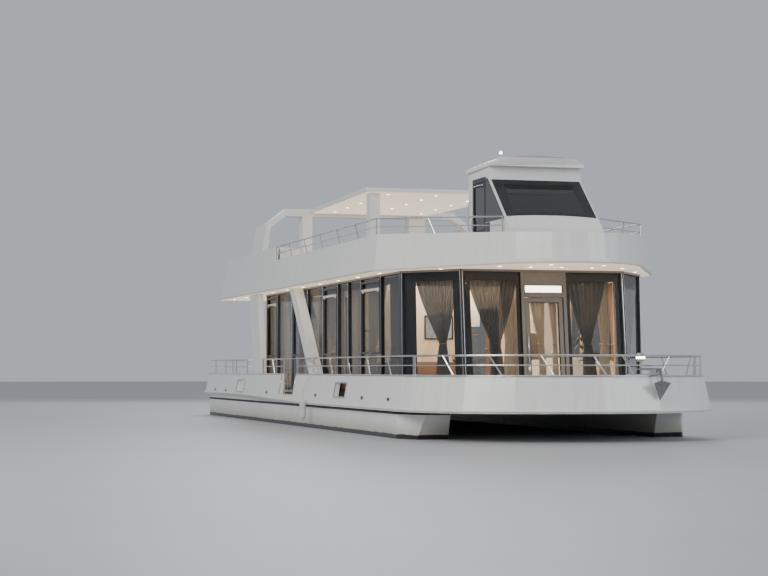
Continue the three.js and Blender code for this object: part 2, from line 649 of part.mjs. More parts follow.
function stairs() {
  const S = STAIR;
  const rise = (UPPER.floor - DECK.floor) / S.steps;
  const profile = [];
  for (let i = 0; i < S.steps; i += 1) {
    const x = S.footX + i * S.going;
    profile.push([x, DECK.floor + GAP + i * rise], [x, DECK.floor + GAP + (i + 1) * rise - 1]);
  }
  const headX = S.footX + S.steps * S.going;
  const headZ = UPPER.floor - 1;
  profile.push([headX, headZ], [headX, headZ - rise - S.plate],
    [S.footX + S.going + S.plate, DECK.floor + GAP]);
  const flight = solid(acrossFrom(profile, S.y - S.width / 2, S.y + S.width / 2));
  const [port, starboard] = [S.y + S.width / 2, S.y - S.width / 2];
  const lip = block(headX - 20, STAIR.holeFore - GAP, starboard, port, headZ - 80, headZ);
  return flight.add(lip);
}
piece('aft_stairs', stairs(), gelcoat);

// Portal at the stern of the upper deck and the hardtop that it carries

function portal() {
  const P = PORTAL;
  const foot = UPPER.high + GAP;
  const legInner = P.legOuter - P.legThick;
  const top = [P.legOuter - P.lean, P.shoulderFoot];
  const arch = outline([
    [-P.legOuter, foot], [-top[0], top[1]], [-P.shoulderY, P.top], [P.shoulderY, P.top], [top[0], top[1]],
    [P.legOuter, foot], [legInner, foot], [top[0] - P.legThick, top[1] - 90], [P.shoulderY, P.beamFoot],
    [-P.shoulderY, P.beamFoot], [-top[0] + P.legThick, top[1] - 90], [-legInner, foot],
  ]);
  const parts = [solid(alongFrom(arch, P.fore - P.beamDepth, P.fore))];
  for (const [name, side] of Object.entries(SIDES)) {
    const leg = [[P.legAft, foot], [P.fore, foot], [P.fore, P.shoulderFoot], [P.legTopAft, P.shoulderFoot]];
    const web = acrossFrom(leg,
      side * legInner, side * P.legOuter);
    parts.push(solid(bend(web, (p) => {
      p.y -= (side * P.lean * (p.z - foot)) / (P.shoulderFoot - foot);
    })));
    parts.push(block(P.fore - P.beamDepth, P.fore, ...PORTAL_POSTS[name], UPPER.floor + GAP,
      P.beamFoot + 50));
  }
  return join(parts);
}
piece('aft_portal', portal(), gelcoat);

function hardtop() {
  const H = HARDTOP;
  const L = HARDTOP_LEG;
  const plan = outline([
    [H.aft + GAP, -H.halfAft], [H.front, -H.halfFront], [H.front, H.halfFront], [H.aft + GAP, H.halfAft],
  ]);
  const legs = Object.values(SIDES).map((side) => block(L.x, L.x + L.length, side * L.inner, side * L.outer,
    UPPER.floor + GAP, H.foot + 20));
  return join([raised(plan, H.foot, H.top), ...legs]);
}
piece('hardtop', hardtop(), gelcoat);

for (const [name, side] of Object.entries(SIDES)) {
  const L = LOCKER;
  const locker = block(L.aft, L.fore, side * L.inner, side * L.outer, UPPER.floor + GAP, UPPER.high);
  piece(`${name}_deck_locker`, locker, gelcoat);
}

// Pilothouse on the fore part of the upper deck

const houseProfile = (inset) => {
  const H = HOUSE;
  return [
    [H.aft + inset, UPPER.floor + GAP + inset * 0.4], [H.nose - inset, UPPER.floor + GAP + inset * 0.4],
    [H.nose - inset * 1.1, H.noseZ - inset * 0.2], [H.brow - inset * 1.1, H.browZ - inset * 0.2],
    [H.brow - inset * 1.1, H.frontTop - inset], [H.aft + inset, H.aftTop - inset],
  ];
};

// Where the leaning front stands at height z.
function houseFront(z) {
  const share = (z - HOUSE.noseZ) / (HOUSE.browZ - HOUSE.noseZ);
  return HOUSE.nose + (HOUSE.brow - HOUSE.nose) * share;
}

function pilothouse() {
  const H = HOUSE;
  const D = HOUSE_DOOR;
  const outer = solid(acrossFrom(houseProfile(0), -H.halfWidth, H.halfWidth));
  const inner = solid(acrossFrom(houseProfile(H.wall), -H.halfWidth + H.wall, H.halfWidth - H.wall));
  const glassHalf = H.halfWidth - 90;
  const [low, high] = [H.glassFoot, H.browZ - 40];
  const shield = [[houseFront(low) - 350, low], [houseFront(low) + 200, low], [houseFront(high) + 200, high],
    [houseFront(high) - 350, high]];
  const quarter = [[H.quarterAft, low], [houseFront(low) - H.pillar, low],
    [houseFront(H.quarterTop) - H.pillar, H.quarterTop], [H.quarterAft, H.quarterTop]];
  const tools = [
    inner,
    solid(acrossFrom(shield, -glassHalf, glassHalf)),
    solid(acrossFrom(quarter, -H.halfWidth - 50, H.halfWidth + 50)),
    block(D.aft, D.fore, -H.halfWidth - 50, -H.halfWidth + 150, D.foot, D.top),
    block(D.aft, D.fore, H.halfWidth - 150, H.halfWidth + 50, low, high - 15),
    block(H.aft - 50, H.aft + 150, -glassHalf, glassHalf, low - 235, high - 15),
  ];
  return cut(outer, tools);
}
piece('pilothouse', pilothouse(), gelcoat);

function pilothouseRoof() {
  const R = HOUSE_ROOF;
  const slope = (HOUSE.frontTop - HOUSE.aftTop) / (HOUSE.brow - HOUSE.aft);
  const shape = new THREE.Shape();
  shape.moveTo(-R.halfWidth, 0);
  shape.lineTo(R.halfWidth, 0);
  shape.lineTo(R.halfWidth, R.edge);
  shape.lineTo(R.hip, R.edge + R.hipRise);
  shape.quadraticCurveTo(0, R.edge + R.hipRise + R.crown, -R.hip, R.edge + R.hipRise);
  shape.lineTo(-R.halfWidth, R.edge);
  const geometry = new THREE.ExtrudeGeometry(shape,
    { depth: 1, steps: 10, curveSegments: 10, bevelEnabled: false });
  return solid(bend(geometry, (p) => {
    const [along, across, up] = [p.z, p.x, p.y];
    const x = R.aft + (R.fore - R.aft) * along;
    const narrow = 1 - (1 - R.noseWidth) * along ** 4;
    const round = R.nose * along ** 2 * (1 - (across / R.halfWidth) ** 2);
    p.set(x + round, across * narrow, HOUSE.aftTop + slope * (x + round - HOUSE.aft) + GAP + up);
  }));
}
piece('pilothouse_roof', pilothouseRoof(), gelcoat);

function pilothouseDoor() {
  const D = HOUSE_DOOR;
  const y = -HOUSE.halfWidth + HOUSE.wall / 2;
  const [x0, x1] = [D.aft + D.play, D.fore - FRONT_DOOR.edge];
  const leaf = block(x0, x1, y - D.leaf / 2, y + D.leaf / 2, D.foot + D.play, D.top - D.play);
  const pane = block(x0 + 80, x1 - 80, y - 60, y + 60, D.foot + 700, D.top - 90);
  const pinX = x1 - FRONT_DOOR.pivot;
  return leaf.subtract(pane).add(rod([pinX, y, D.foot + GAP], [pinX, y, D.top - GAP], PIN.radius, 12));
}
piece('pilothouse_door', pilothouseDoor(), blackFrame);

const houseFloor = UPPER.floor + GAP + HOUSE.wall * 0.4 + GAP;

function helmConsole() {
  const C = CONSOLE;
  const profile = [
    [C.aft, houseFloor], [C.fore, houseFloor], [C.fore, C.high], [C.slopeFore, C.high], [C.aft, C.low],
  ];
  return solid(acrossFrom(profile, -C.halfWidth, C.halfWidth));
}
piece('helm_console', helmConsole(), blackFrame);

// The wheel's shaft ends just short of the sloping console face.
function helmWheel() {
  const H = HELM;
  const rim = new THREE.TorusGeometry(H.wheel, H.rim, 8, 24);
  const parts = [solid(rim), solid(new THREE.CylinderGeometry(32, 32, 44, 12).rotateX(Math.PI / 2))];
  for (let i = 0; i < 3; i += 1) {
    const turn = (2 * Math.PI * i) / 3;
    parts.push(rod([0, 0, 0], [H.wheel * Math.cos(turn), H.wheel * Math.sin(turn), 0], 11));
  }
  parts.push(rod([0, 0, 0], [0, 0, -H.reach], H.shaft));
  const C = CONSOLE;
  const slope = Math.atan2(C.high - C.low, C.slopeFore - C.aft);
  const face = new THREE.Vector3((C.slopeFore + C.aft) / 2, H.y, (C.high + C.low) / 2);
  const out = new THREE.Vector3(-Math.sin(slope), 0, Math.cos(slope));
  const centre = face.clone().addScaledVector(out, H.reach + GAP);
  const tilt = (Math.atan2(out.x, out.z) * 180) / Math.PI;
  return join(parts).rotate([0, tilt, 0]).translate([centre.x, centre.y, centre.z]);
}
piece('helm_wheel', helmWheel(), steel);

function helmSeat() {
  const { seatX: x, y, seatFoot, seatTop, backTop } = HELM;
  const [foot, seat, top, back] = [0, seatFoot, seatTop, backTop].map((h) => houseFloor + h);
  return join([
    block(x - 180, x + 180, y - 180, y + 180, foot, foot + 25),
    rod([x, y, foot + 10], [x, y, seat + 20], 45, 12),
    block(x - 240, x + 240, y - 260, y + 260, seat, top),
    block(x - 290, x - 190, y - 240, y + 240, seat, back),
  ]);
}
piece('helm_seat', helmSeat(), fabric);

// Guard rails: leaning posts that carry a top bar and a middle bar

function pathThrough(points) {
  const path = new THREE.CurvePath();
  points.slice(1).forEach((point, i) => {
    path.add(new THREE.LineCurve3(new THREE.Vector3(...points[i]), new THREE.Vector3(...point)));
  });
  return path;
}

function evenShares(path, spacing) {
  const count = Math.max(1, Math.round(path.getLength() / spacing));
  return Array.from({ length: count + 1 }, (_, i) => i / count);
}

// A rail over a foot line, with posts at the given shares of its length or evenly spaced.
// Each post's top stands back from its foot, against the line's direction, by leanAt.
function railing(line, size, leanAt, shares) {
  const { height, bar, mid, post, spacing } = size;
  const lift = (point, share) => {
    const [x, y, z] = point;
    return [x, y, z + height * share];
  };
  const path = pathThrough(line);
  const posts = (shares ?? evenShares(path, spacing)).map((share) => ({
    at: path.getPointAt(share), along: path.getTangentAt(Math.min(0.999, Math.max(0.001, share))),
  }));
  const run = line.length > 6 ? (points, radius) => sweep(points, radius, 44) : pipe;
  const parts = [run(line.map((p) => lift(p, 1)), bar), run(line.map((p) => lift(p, 0.5)), mid)];
  posts.forEach(({ at, along }, i) => {
    const shift = i === 0 || i === posts.length - 1 ? 0 : leanAt(at);
    const foot = at.clone().addScaledVector(along, shift / 2);
    const head = at.clone().addScaledVector(along, -shift / 2);
    const plate = foot.z + FLANGE.thick;
    parts.push(rod([foot.x, foot.y, plate - 3], [head.x, head.y, head.z + height], post));
    parts.push(rod([foot.x, foot.y, foot.z + GAP], [foot.x, foot.y, plate], FLANGE.radius, 10));
  });
  return join(parts);
}

// The line along the middle of the bulwark's top.
const capScale = shrink(DECK.flare + DECK.wall / 2, deckSize);
const capPoint = (x, y) => [x * capScale[0], y * capScale[1], DECK.top];

const capY = DECK.halfBeam * capScale[1];
const sternX = -DECK.stern * capScale[0];
const bowLine = bowCurve().map(([x, y]) => capPoint(x, y));
const shoulderBend = (side) => {
  const [bend, end] = bowLine;
  const short = 1 - RAIL.gap / Math.hypot(end[0] - bend[0], end[1] - bend[1]);
  const mirrored = ([x, y, z]) => [x, side * Math.abs(y), z];
  return [mirrored(bend), mirrored(bend.map((v, i) => v + (end[i] - v) * short))];
};
const finForeFoot = FIN.fore + FIN.rake + 80;
const finAftFoot = FIN.aft + FIN.rake - 80;
const leanAft = () => RAIL.lean;
const leanFromAnchor = (at) => (at.y < BOW_GEAR.y ? RAIL.lean : -RAIL.lean);
const upright = () => 0;
function sideRail(fromX, side) {
  return railing([[fromX, side * capY, DECK.top], ...shoulderBend(side)], RAIL, leanAft);
}

piece('bow_rail', railing(bowLine.slice(1, -1), RAIL, leanFromAnchor, BOW_POSTS), steel);
piece('starboard_rail', sideRail(GATEWAY.fore + 60, -1), steel);
piece('port_rail', sideRail(finForeFoot, 1), steel);
piece('stern_rail', railing([
  [finAftFoot, capY, DECK.top], [sternX + 200, capY, DECK.top], [sternX, capY - 200, DECK.top],
  [sternX, -capY + 200, DECK.top], [sternX + 200, -capY, DECK.top], [finAftFoot, -capY, DECK.top],
], RAIL, upright), steel);
const quarterLine = [[finForeFoot, -capY, DECK.top], [GATEWAY.aft - 60, -capY, DECK.top]];
piece('quarter_rail', railing(quarterLine, RAIL, leanAft), steel);

// Boarding gate: a barred frame on a post that turns on the deck

function boardingGate() {
  const [x0, x1] = [GATEWAY.aft + 30, GATEWAY.fore - 25];
  const [z0, z1] = [DECK.floor + 90, DECK.top + RAIL.height];
  const bars = [z0, z1].map((z) => rod([x0, -capY, z], [x1, -capY, z], 16));
  const uprights = [0.25, 0.5, 0.75].map((t) => {
    const x = x0 + (x1 - x0) * t;
    return rod([x, -capY, z0], [x, -capY, z1], 11);
  });
  return join([...bars, ...uprights, rod([x0, -capY, DECK.floor + GAP], [x0, -capY, z1 + 16], 20, 12),
    rod([x1, -capY, z0 - 14], [x1, -capY, z1 + 14], 16)]);
}
piece('boarding_gate', boardingGate(), steel);

// Upper rails: from the pilothouse to the deck's shoulder and aft to the locker

function upperRail(side) {
  const U = UPPER;
  const half = U.halfBeam - upperLeanAt(U.side) - U.wall / 2;
  const { bendX, endX, lean } = UPPER_RAIL;
  const line = [[U.step + 95, side * half, U.side], [bendX, side * half, U.side]];
  const along = railing(line, UPPER_RAIL, () => lean);
  const top = U.side + UPPER_RAIL.height;
  const endY = HOUSE.halfWidth + 40;
  const parts = [along];
  [[1, UPPER_RAIL.bar], [0.5, UPPER_RAIL.mid]].forEach(([share, radius]) => {
    const z = U.side + UPPER_RAIL.height * share;
    parts.push(pipe([[bendX, side * half, z], [endX, side * endY, z - 100]], radius));
  });
  // The posts of this stretch stand on the deck inside the parapet. The first of them leans aft.
  const at = (share) => [bendX + (endX - bendX) * share, side * (half + (endY - half) * share)];
  const plate = U.floor + FLANGE.thick;
  [[0.5, 0.08], [1, 0]].forEach(([t, shift]) => {
    const [foot, head] = [at(t + shift), at(t - shift)];
    parts.push(rod([...foot, plate - 3], [...head, top - 100 * (t - shift)], UPPER_RAIL.post));
    parts.push(rod([...foot, U.floor + GAP], [...foot, plate], FLANGE.radius, 10));
  });
  return join(parts);
}
for (const [name, side] of Object.entries(SIDES)) {
  piece(`${name}_upper_rail`, upperRail(side), steel);
}

// Foredeck: anchor on its roller at the port bow, and a lamp on a short post

function anchorRoller() {
  const { plateAft, plateFore, cheekFore } = BOW_GEAR;
  const { rollerX, rollerRise, rollerRadius } = BOW_GEAR;
  const plate = block(plateAft, plateFore, -95, 95, DECK.top + GAP, DECK.top + 18);
  const cheeks = [-80, 80].map((y) => block(40, cheekFore, y - 8, y + 8, DECK.top + GAP, DECK.top + 110));
  const rollerZ = DECK.top + rollerRise;
  const roller = rod([rollerX, -85, rollerZ], [rollerX, 85, rollerZ], rollerRadius, 14);
  const leg = block(plateAft + 20, plateAft + 60, -60, 60, DECK.floor + GAP, DECK.top + 10);
  return join([plate, ...cheeks, roller, leg]);
}

// The shank lies on the roller and bends down ahead of it to a broad fluke that leans back to the bow.
function anchor() {
  const A = ANCHOR;
  const rest = DECK.top + BOW_GEAR.rollerRise + BOW_GEAR.rollerRadius + GAP;
  const crown = DECK.top - A.drop;
  const shank = [[A.eyeX, rest], [240, rest], [310, crown - 10], [350, crown],
    [285, rest + A.shankDeep], [A.eyeX, rest + A.shankDeep]];
  const blade = new THREE.Shape();
  blade.moveTo(-A.wing, 0);
  blade.lineTo(0, A.fluke);
  blade.lineTo(A.wing, 0);
  blade.lineTo(0, -A.heel);
  const fluke = new THREE.ExtrudeGeometry(blade, { depth: A.thick, bevelEnabled: false });
  fluke.rotateZ(Math.PI / 2).rotateY(-A.steep).translate(A.crownX, 0, crown);
  return solid(acrossFrom(shank, -A.shankHalf, A.shankHalf)).add(solid(fluke));
}

function atBow(body) {
  return body.rotate([0, 0, (BOW_GEAR.heading * 180) / Math.PI]).translate([BOW_GEAR.x, BOW_GEAR.y, 0]);
}
piece('anchor_roller', atBow(anchorRoller()), steel);
piece('anchor', atBow(anchor()), iron);

function foredeckLamp() {
  const { x, y, foot, post, height } = BOW_LAMP;
  const floor = DECK.floor + GAP;
  const head = [[0, 0], [60, 0], [85, 40], [85, 130], [60, 165], [0, 170]];
  const lantern = new THREE.LatheGeometry(head.map(([r, h]) => new THREE.Vector2(r, h)), 16);
  return join([
    rod([x, y, floor], [x, y, floor + 16], foot, 16),
    rod([x, y, floor + 10], [x, y, floor + height + 10], post, 12),
    solid(lantern.rotateX(Math.PI / 2).translate(x, y, floor + height)),
  ]);
}
piece('foredeck_lamp', foredeckLamp(), steel);

// Fender outside the starboard bulwark, on a rope from the rail

function fender() {
  const { x, y, foot, length, radius } = FENDER;
  const profile = [[0, 0], [22, 0], [26, 24], [radius * 0.8, 60], [radius, 110], [radius, length - 120],
    [radius * 0.8, length - 66], [26, length - 28], [22, length], [0, length]];
  const body = new THREE.LatheGeometry(profile.map(([r, h]) => new THREE.Vector2(r, h)), 16);
  return solid(body.rotateX(Math.PI / 2).translate(x, y, foot));
}
piece('fender', fender(), bottomPaint);

const FENDER_ROUTE = [
  [FENDER.x, FENDER.y, FENDER.foot + FENDER.length + GAP], [FENDER.x, FENDER.y, 1700],
  [FENDER.x, FENDER.y + 40, 1850], [FENDER.x, -3202, 2020], [FENDER.x, -3130, 2140],
  [FENDER.x, -3075, 2250], [FENDER.x, -3040, 2400],
  [FENDER.x, -capY - RAIL.bar - FENDER.rope - GAP, DECK.top + RAIL.height],
];

const fenderRope = () => sweep(FENDER_ROUTE, FENDER.rope, 24);
piece('fender_rope', fenderRope(), rope);

export default boat;
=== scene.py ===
# %% [markdown]
# A two-deck houseboat on twin pontoons, seen from low at the quay.
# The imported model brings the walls, decks, rails and everything that turns or slides. This lesson adds what
# makes it look real: paint, glass, curtains, cushions, trim and lights. Every number is in metres, +X to the
# bow, +Y to port.

# %% Load the fixed frame
import math

import bpy
import numpy as np
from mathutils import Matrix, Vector


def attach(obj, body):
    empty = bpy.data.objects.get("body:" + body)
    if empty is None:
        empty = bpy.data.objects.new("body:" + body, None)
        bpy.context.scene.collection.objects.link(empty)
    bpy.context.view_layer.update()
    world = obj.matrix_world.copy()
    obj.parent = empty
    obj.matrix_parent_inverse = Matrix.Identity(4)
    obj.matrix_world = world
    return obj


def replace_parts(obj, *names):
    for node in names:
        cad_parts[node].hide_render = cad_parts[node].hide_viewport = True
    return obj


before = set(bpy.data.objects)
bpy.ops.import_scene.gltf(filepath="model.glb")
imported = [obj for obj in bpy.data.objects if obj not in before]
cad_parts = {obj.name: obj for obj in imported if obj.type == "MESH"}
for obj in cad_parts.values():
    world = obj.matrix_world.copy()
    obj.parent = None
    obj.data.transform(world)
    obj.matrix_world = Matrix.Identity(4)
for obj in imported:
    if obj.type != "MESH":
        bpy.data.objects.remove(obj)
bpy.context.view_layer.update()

HULL = "boat"
WATERLINE = 0.9
DECK_FLOOR, BULWARK_TOP, UPPER_FLOOR, UPPER_FOOT = 1.65, 2.17, 4.4, 4.31

# %% [markdown]
# The photograph looks up slightly from about a man's height above the water, from ahead and to starboard.
# A camera is a lens and a direction: the long lens keeps the far stern almost as large as the near bow.

# %% Camera
CAMERA = {"place": (44.0, -13.46, 2.29), "heading": 15.96, "rise": 2.5, "lens": 86.7}


def make_camera(place, heading, rise, lens):
    """A camera that looks along -X, turned by heading degrees towards +Y and raised by rise degrees."""
    data = bpy.data.cameras.new("quay_camera")
    data.lens, data.sensor_width = lens, 36.0
    data.clip_end = 500.0
    camera = bpy.data.objects.new("quay_camera", data)
    bpy.context.scene.collection.objects.link(camera)
    turn, up = math.radians(heading), math.radians(rise)
    aim = Vector((-math.cos(turn) * math.cos(up), math.sin(turn) * math.cos(up), math.sin(up)))
    camera.location = place
    camera.rotation_euler = aim.to_track_quat("-Z", "Y").to_euler()
    bpy.context.scene.camera = camera


make_camera(**CAMERA)
print("camera looks from", CAMERA["place"])

# %% [markdown]
# Every new piece is a mesh whose points numpy works out. One function puts the points into a mesh, and the
# next lets the piece ride on a body of the frame, so that it moves when that body does.

# %% From points to a piece


def as_mesh(name, points, faces, finish):
    """A mesh object at the origin from (n, 3) points and lists of corner numbers."""
    mesh = bpy.data.meshes.new(name)
    corners = [list(map(int, face)) for face in faces]
    mesh.from_pydata(np.asarray(points, float).reshape(-1, 3).tolist(), [], corners)
    mesh.materials.append(finish)
    thing = bpy.data.objects.new(name, mesh)
    bpy.context.scene.collection.objects.link(thing)
    return thing


def as_piece(name, points, faces, finish, body=HULL, smooth=True):
    """One mesh object that is shaded smooth or flat and rides on a body of the frame."""
    piece = as_mesh(name, points, faces, finish)
    piece.data.polygons.foreach_set("use_smooth", [smooth] * len(piece.data.polygons))
    piece.data.update()
    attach(piece, body)
    return piece


def grid_faces(rows, columns, close_rows=False, close_columns=False):
    """Quads between neighbouring points of a rows x columns grid, joined round where an axis is closed."""
    r = np.arange(rows if close_rows else rows - 1)
    c = np.arange(columns if close_columns else columns - 1)
    i, j = np.meshgrid(r, c, indexing="ij")
    up, right = (i + 1) % rows, (j + 1) % columns
    quads = np.stack([i * columns + j, i * columns + right, up * columns + right, up * columns + j], -1)
    return quads.reshape(-1, 4)


def skinned(rings, closed=False, flipped=False):
    """Quads between neighbouring rings, an (n, k, 3) array, with a flat cap on each end of an open row.
    Flipped, every face looks the other way."""
    rows, count = rings.shape[:2]
    faces = list(grid_faces(rows, count, closed, True))
    if not closed:
        faces += [np.arange(count)[::-1], np.arange(count) + (rows - 1) * count]
    if flipped:
        faces = [face[::-1] for face in faces]
    return rings.reshape(-1, 3), faces


def gather(*parts):
    """Joins (points, faces) parts into one, with each part's corner numbers moved past those before it."""
    points, faces, start = [], [], 0
    for part_points, part_faces in parts:
        points.append(part_points)
        faces.extend([np.asarray(face) + start for face in part_faces])
        start += len(part_points)
    return np.concatenate(points), faces


# %% [markdown]
# Three shapes cover most of a boat's fittings: a tube along a path, a turned profile, and a block with
# rounded edges. Each is a closed surface given by a formula on a grid.

# %% Tube, turned shape and rounded block


def tangents(points, closed=False):
    """Unit directions along a path: the difference of each point's neighbours."""
    if closed:
        along = np.roll(points, -1, 0) - np.roll(points, 1, 0)
    else:
        along = np.gradient(points, axis=0)
    return along / np.linalg.norm(along, axis=1, keepdims=True)


def tube(points, radius, sides=12, closed=False, twist=0.0, lobes=0, lobe_depth=0.0):
    """Circles round a path: p + r (cos a n + sin a b), where n and b stand square to the path. Lobes ripple
    r by the angle, and twist turns them along the path, as the strands of a laid rope."""
    points = np.asarray(points, float)
    along = tangents(points, closed)
    side = np.cross(along, (0.0, 0.0, 1.0) if abs(along[:, 2]).mean() < 0.7 else (0.0, 1.0, 0.0))
    side /= np.linalg.norm(side, axis=1, keepdims=True)
    angle = np.linspace(0, 2 * np.pi, sides, endpoint=False)
    circle = np.cos(angle)[:, None] * side[:, None] + np.sin(angle)[:, None] * np.cross(side, along)[:, None]
    run = np.concatenate([[0], np.cumsum(np.linalg.norm(np.diff(points, axis=0), axis=1))])[:, None]
    swell = 1 - lobe_depth * (1 - np.abs(np.cos(lobes / 2 * (angle + twist * run))))
    return skinned(points[:, None] + radius * swell[..., None] * circle, closed, flipped=True)


def turned(profile, base, axis=(0, 0, 1), sides=24):
    """A profile of (radius, height) pairs turned round an axis through base, with flat caps at its ends."""
    axis = np.asarray(axis, float) / np.linalg.norm(axis)
    one = np.cross(axis, (1.0, 0.0, 0.0) if abs(axis[0]) < 0.8 else (0.0, 1.0, 0.0))
    one /= np.linalg.norm(one)
    angle = np.linspace(0, 2 * np.pi, sides, endpoint=False)[:, None]
    circle = np.cos(angle) * one + np.sin(angle) * np.cross(axis, one)
    radius, height = np.asarray(profile, float).T[..., None, None]
    return skinned(np.asarray(base, float) + radius * circle + height * axis)


def round_outline(half_u, half_v, radius, steps=4):
    """A rectangle with round corners as points anticlockwise: each corner's centre plus r (cos a, sin a)."""
    radius = min(radius, half_u, half_v)
    angle = np.linspace(0, np.pi / 2, steps + 1)
    corner = np.repeat([[1, 1], [-1, 1], [-1, -1], [1, -1]], steps + 1, axis=0)
    turn = np.concatenate([angle + q * np.pi / 2 for q in range(4)])
    return corner * (half_u - radius, half_v - radius) + radius * np.stack([np.cos(turn), np.sin(turn)], -1)


def rounded_block(low, high, radius=0.02, edge_steps=3):
    """Rounded rectangles stacked from low to high, drawn in near each end by a quarter of a circle."""
    low, high = np.minimum(low, high).astype(float), np.maximum(low, high).astype(float)
    half, middle = (high - low) / 2, (high + low) / 2
    edge = min(radius, half.min() * 0.98)
    bend = np.linspace(0, np.pi / 2, edge_steps + 1)
    rise, fall = edge * (1 - np.cos(bend)), edge * (1 - np.sin(bend))
    rings = []
    for inset, level in zip((*fall, *rise), (*(low[2] + rise), *(high[2] - fall))):
        flat = round_outline(*(half[:2] - inset), max(edge - inset, 0.0005)) + middle[:2]
        rings.append(np.c_[flat, np.full(len(flat), level)])
    return skinned(np.stack(rings))


print("shape helpers are ready")

# %% [markdown]
# A finish is a shader with a few layers: a base colour that drifts a little over the surface, a roughness
# that drifts with it, and a fine bump. Object coordinates keep the pattern still on the piece, at its real
# scale.

# %% A first finish with drift and bump


def start_finish(name, colour, rough, metal=0.0, **sockets):
    """A material whose shader has plain values; more nodes are added by the caller."""
    material = bpy.data.materials.new(name)
    material.use_nodes = True
    shader = material.node_tree.nodes["Principled BSDF"]
    shader.inputs["Base Color"].default_value = (*colour, 1)
    shader.inputs["Roughness"].default_value = rough
    shader.inputs["Metallic"].default_value = metal
    for socket, value in sockets.items():
        shader.inputs[socket.replace("_", " ")].default_value = value
    material.diffuse_color = (*colour, 1)
    return material, material.node_tree, shader


def add(tree, kind, links=(), **values):
    """A new node of a kind. Links are (input, output socket) pairs, and values are inputs by name or
    settings of the node."""
    node = tree.nodes.new(kind)
    for name, value in values.items():
        if hasattr(node, name):
            setattr(node, name, value)
        else:
            node.inputs[name.replace("_", " ")].default_value = value
    for socket, source in links:
        tree.links.new(source, node.inputs[socket])
    return node


def object_place(tree, stretch=(1, 1, 1)):
    """Object coordinates, scaled by a Mapping node."""
    place = add(tree, "ShaderNodeTexCoord").outputs["Object"]
    return add(tree, "ShaderNodeMapping", [("Vector", place)], Scale=stretch).outputs[0]


def noise(tree, place, scale, detail, **more):
    """A noise from 0 to 1 with scale spots to a metre."""
    links = [("Vector", place)]
    return add(tree, "ShaderNodeTexNoise", links, Scale=scale, Detail=detail, **more).outputs["Fac"]


def drift(tree, shader, colour, amount, scale, place, rough=None, rough_drift=0.0):
    """Lets the colour run between a darker and a lighter tone of itself, and the roughness with it."""
    spots = noise(tree, place, scale, 5.0, Roughness=0.6)
    ramp = add(tree, "ShaderNodeValToRGB", [("Fac", spots)])
    low, high = ramp.color_ramp.elements
    low.position, high.position = 0.3, 0.7
    low.color = (*[c * (1 - amount) for c in colour], 1)
    high.color = (*[min(1.0, c * (1 + amount * 0.6)) for c in colour], 1)
    tree.links.new(ramp.outputs["Color"], shader.inputs["Base Color"])
    if rough is not None:
        spread = add(tree, "ShaderNodeMapRange", [("Value", spots)], To_Min=rough - rough_drift,
                     To_Max=rough + rough_drift)
        tree.links.new(spread.outputs[0], shader.inputs["Roughness"])
    return ramp.outputs["Color"]


def bump(tree, shader, height, strength, distance):
    """A bump from a height socket, distance deep in metres."""
    node = add(tree, "ShaderNodeBump", [("Height", height)], Strength=strength, Distance=distance)
    tree.links.new(node.outputs[0], shader.inputs["Normal"])


def plain_finish(name, colour, rough, metal=0.0, amount=0.06, scale=2.0, grain=60.0, depth=0.0006,
                 strength=0.25, stretch=(1, 1, 1), **sockets):
    """Colour and roughness that drift over metres, with a fine bump over millimetres."""
    material, tree, shader = start_finish(name, colour, rough, metal, **sockets)
    place = object_place(tree, stretch)
    drift(tree, shader, colour, amount, scale, place, rough, min(rough * 0.3, 0.08))
    bump(tree, shader, noise(tree, place, grain, 3.0), strength, depth)
    return material


print("finish helpers are ready")

# %% [markdown]
# Sprayed white paint on welded sheet is never quite even. It has slight waves between the frames, rain runs
# under every edge, and a film of dirt in patches. The runs are noise stretched along Z; the waves are a
# wide, low bump.

# %% White paint


def white_paint():
    """White gloss paint: wide sheet waves, faint vertical runs, and a dull film in patches."""
    colour, film = (0.82, 0.81, 0.775), (0.5, 0.47, 0.41, 1)
    material, tree, shader = start_finish("white_paint", colour, 0.3, Coat_Weight=0.35, Coat_Roughness=0.12)
    place = object_place(tree)
    clean = drift(tree, shader, colour, 0.045, 0.35, place, 0.3, 0.07)
    runs = noise(tree, object_place(tree, (5, 5, 0.35)), 1.6, 6.0)
    mask = add(tree, "ShaderNodeMapRange", [("Value", runs)], From_Min=0.52, From_Max=0.8, To_Max=0.26)
    dirt = add(tree, "ShaderNodeMix", [("Factor", mask.outputs[0]), (6, clean)], data_type="RGBA")
    dirt.inputs[7].default_value = film
    tree.links.new(dirt.outputs[2], shader.inputs["Base Color"])
    waves, peel = noise(tree, place, 0.9, 1.0), noise(tree, place, 140.0, 2.0)
    both = add(tree, "ShaderNodeMath", [(0, peel), (2, waves)], operation="MULTIPLY_ADD")
    both.inputs[1].default_value = 0.02
    bump(tree, shader, both.outputs[0], 0.35, 0.012)
    return material


WHITE = white_paint()
print("finish", WHITE.name)

# %% [markdown]
# The pontoons carry the same white above the water, a dark boot stripe at it, and antifouling paint below.
# One ramp on the height picks the paint, and a noise makes the weed line at the water uneven.

# %% Pontoon paint
ANTIFOULING, WEED = (0.07, 0.022, 0.018), (0.03, 0.045, 0.028)
STRIPE, STAIN = (0.012, 0.014, 0.018), (0.62, 0.6, 0.52)


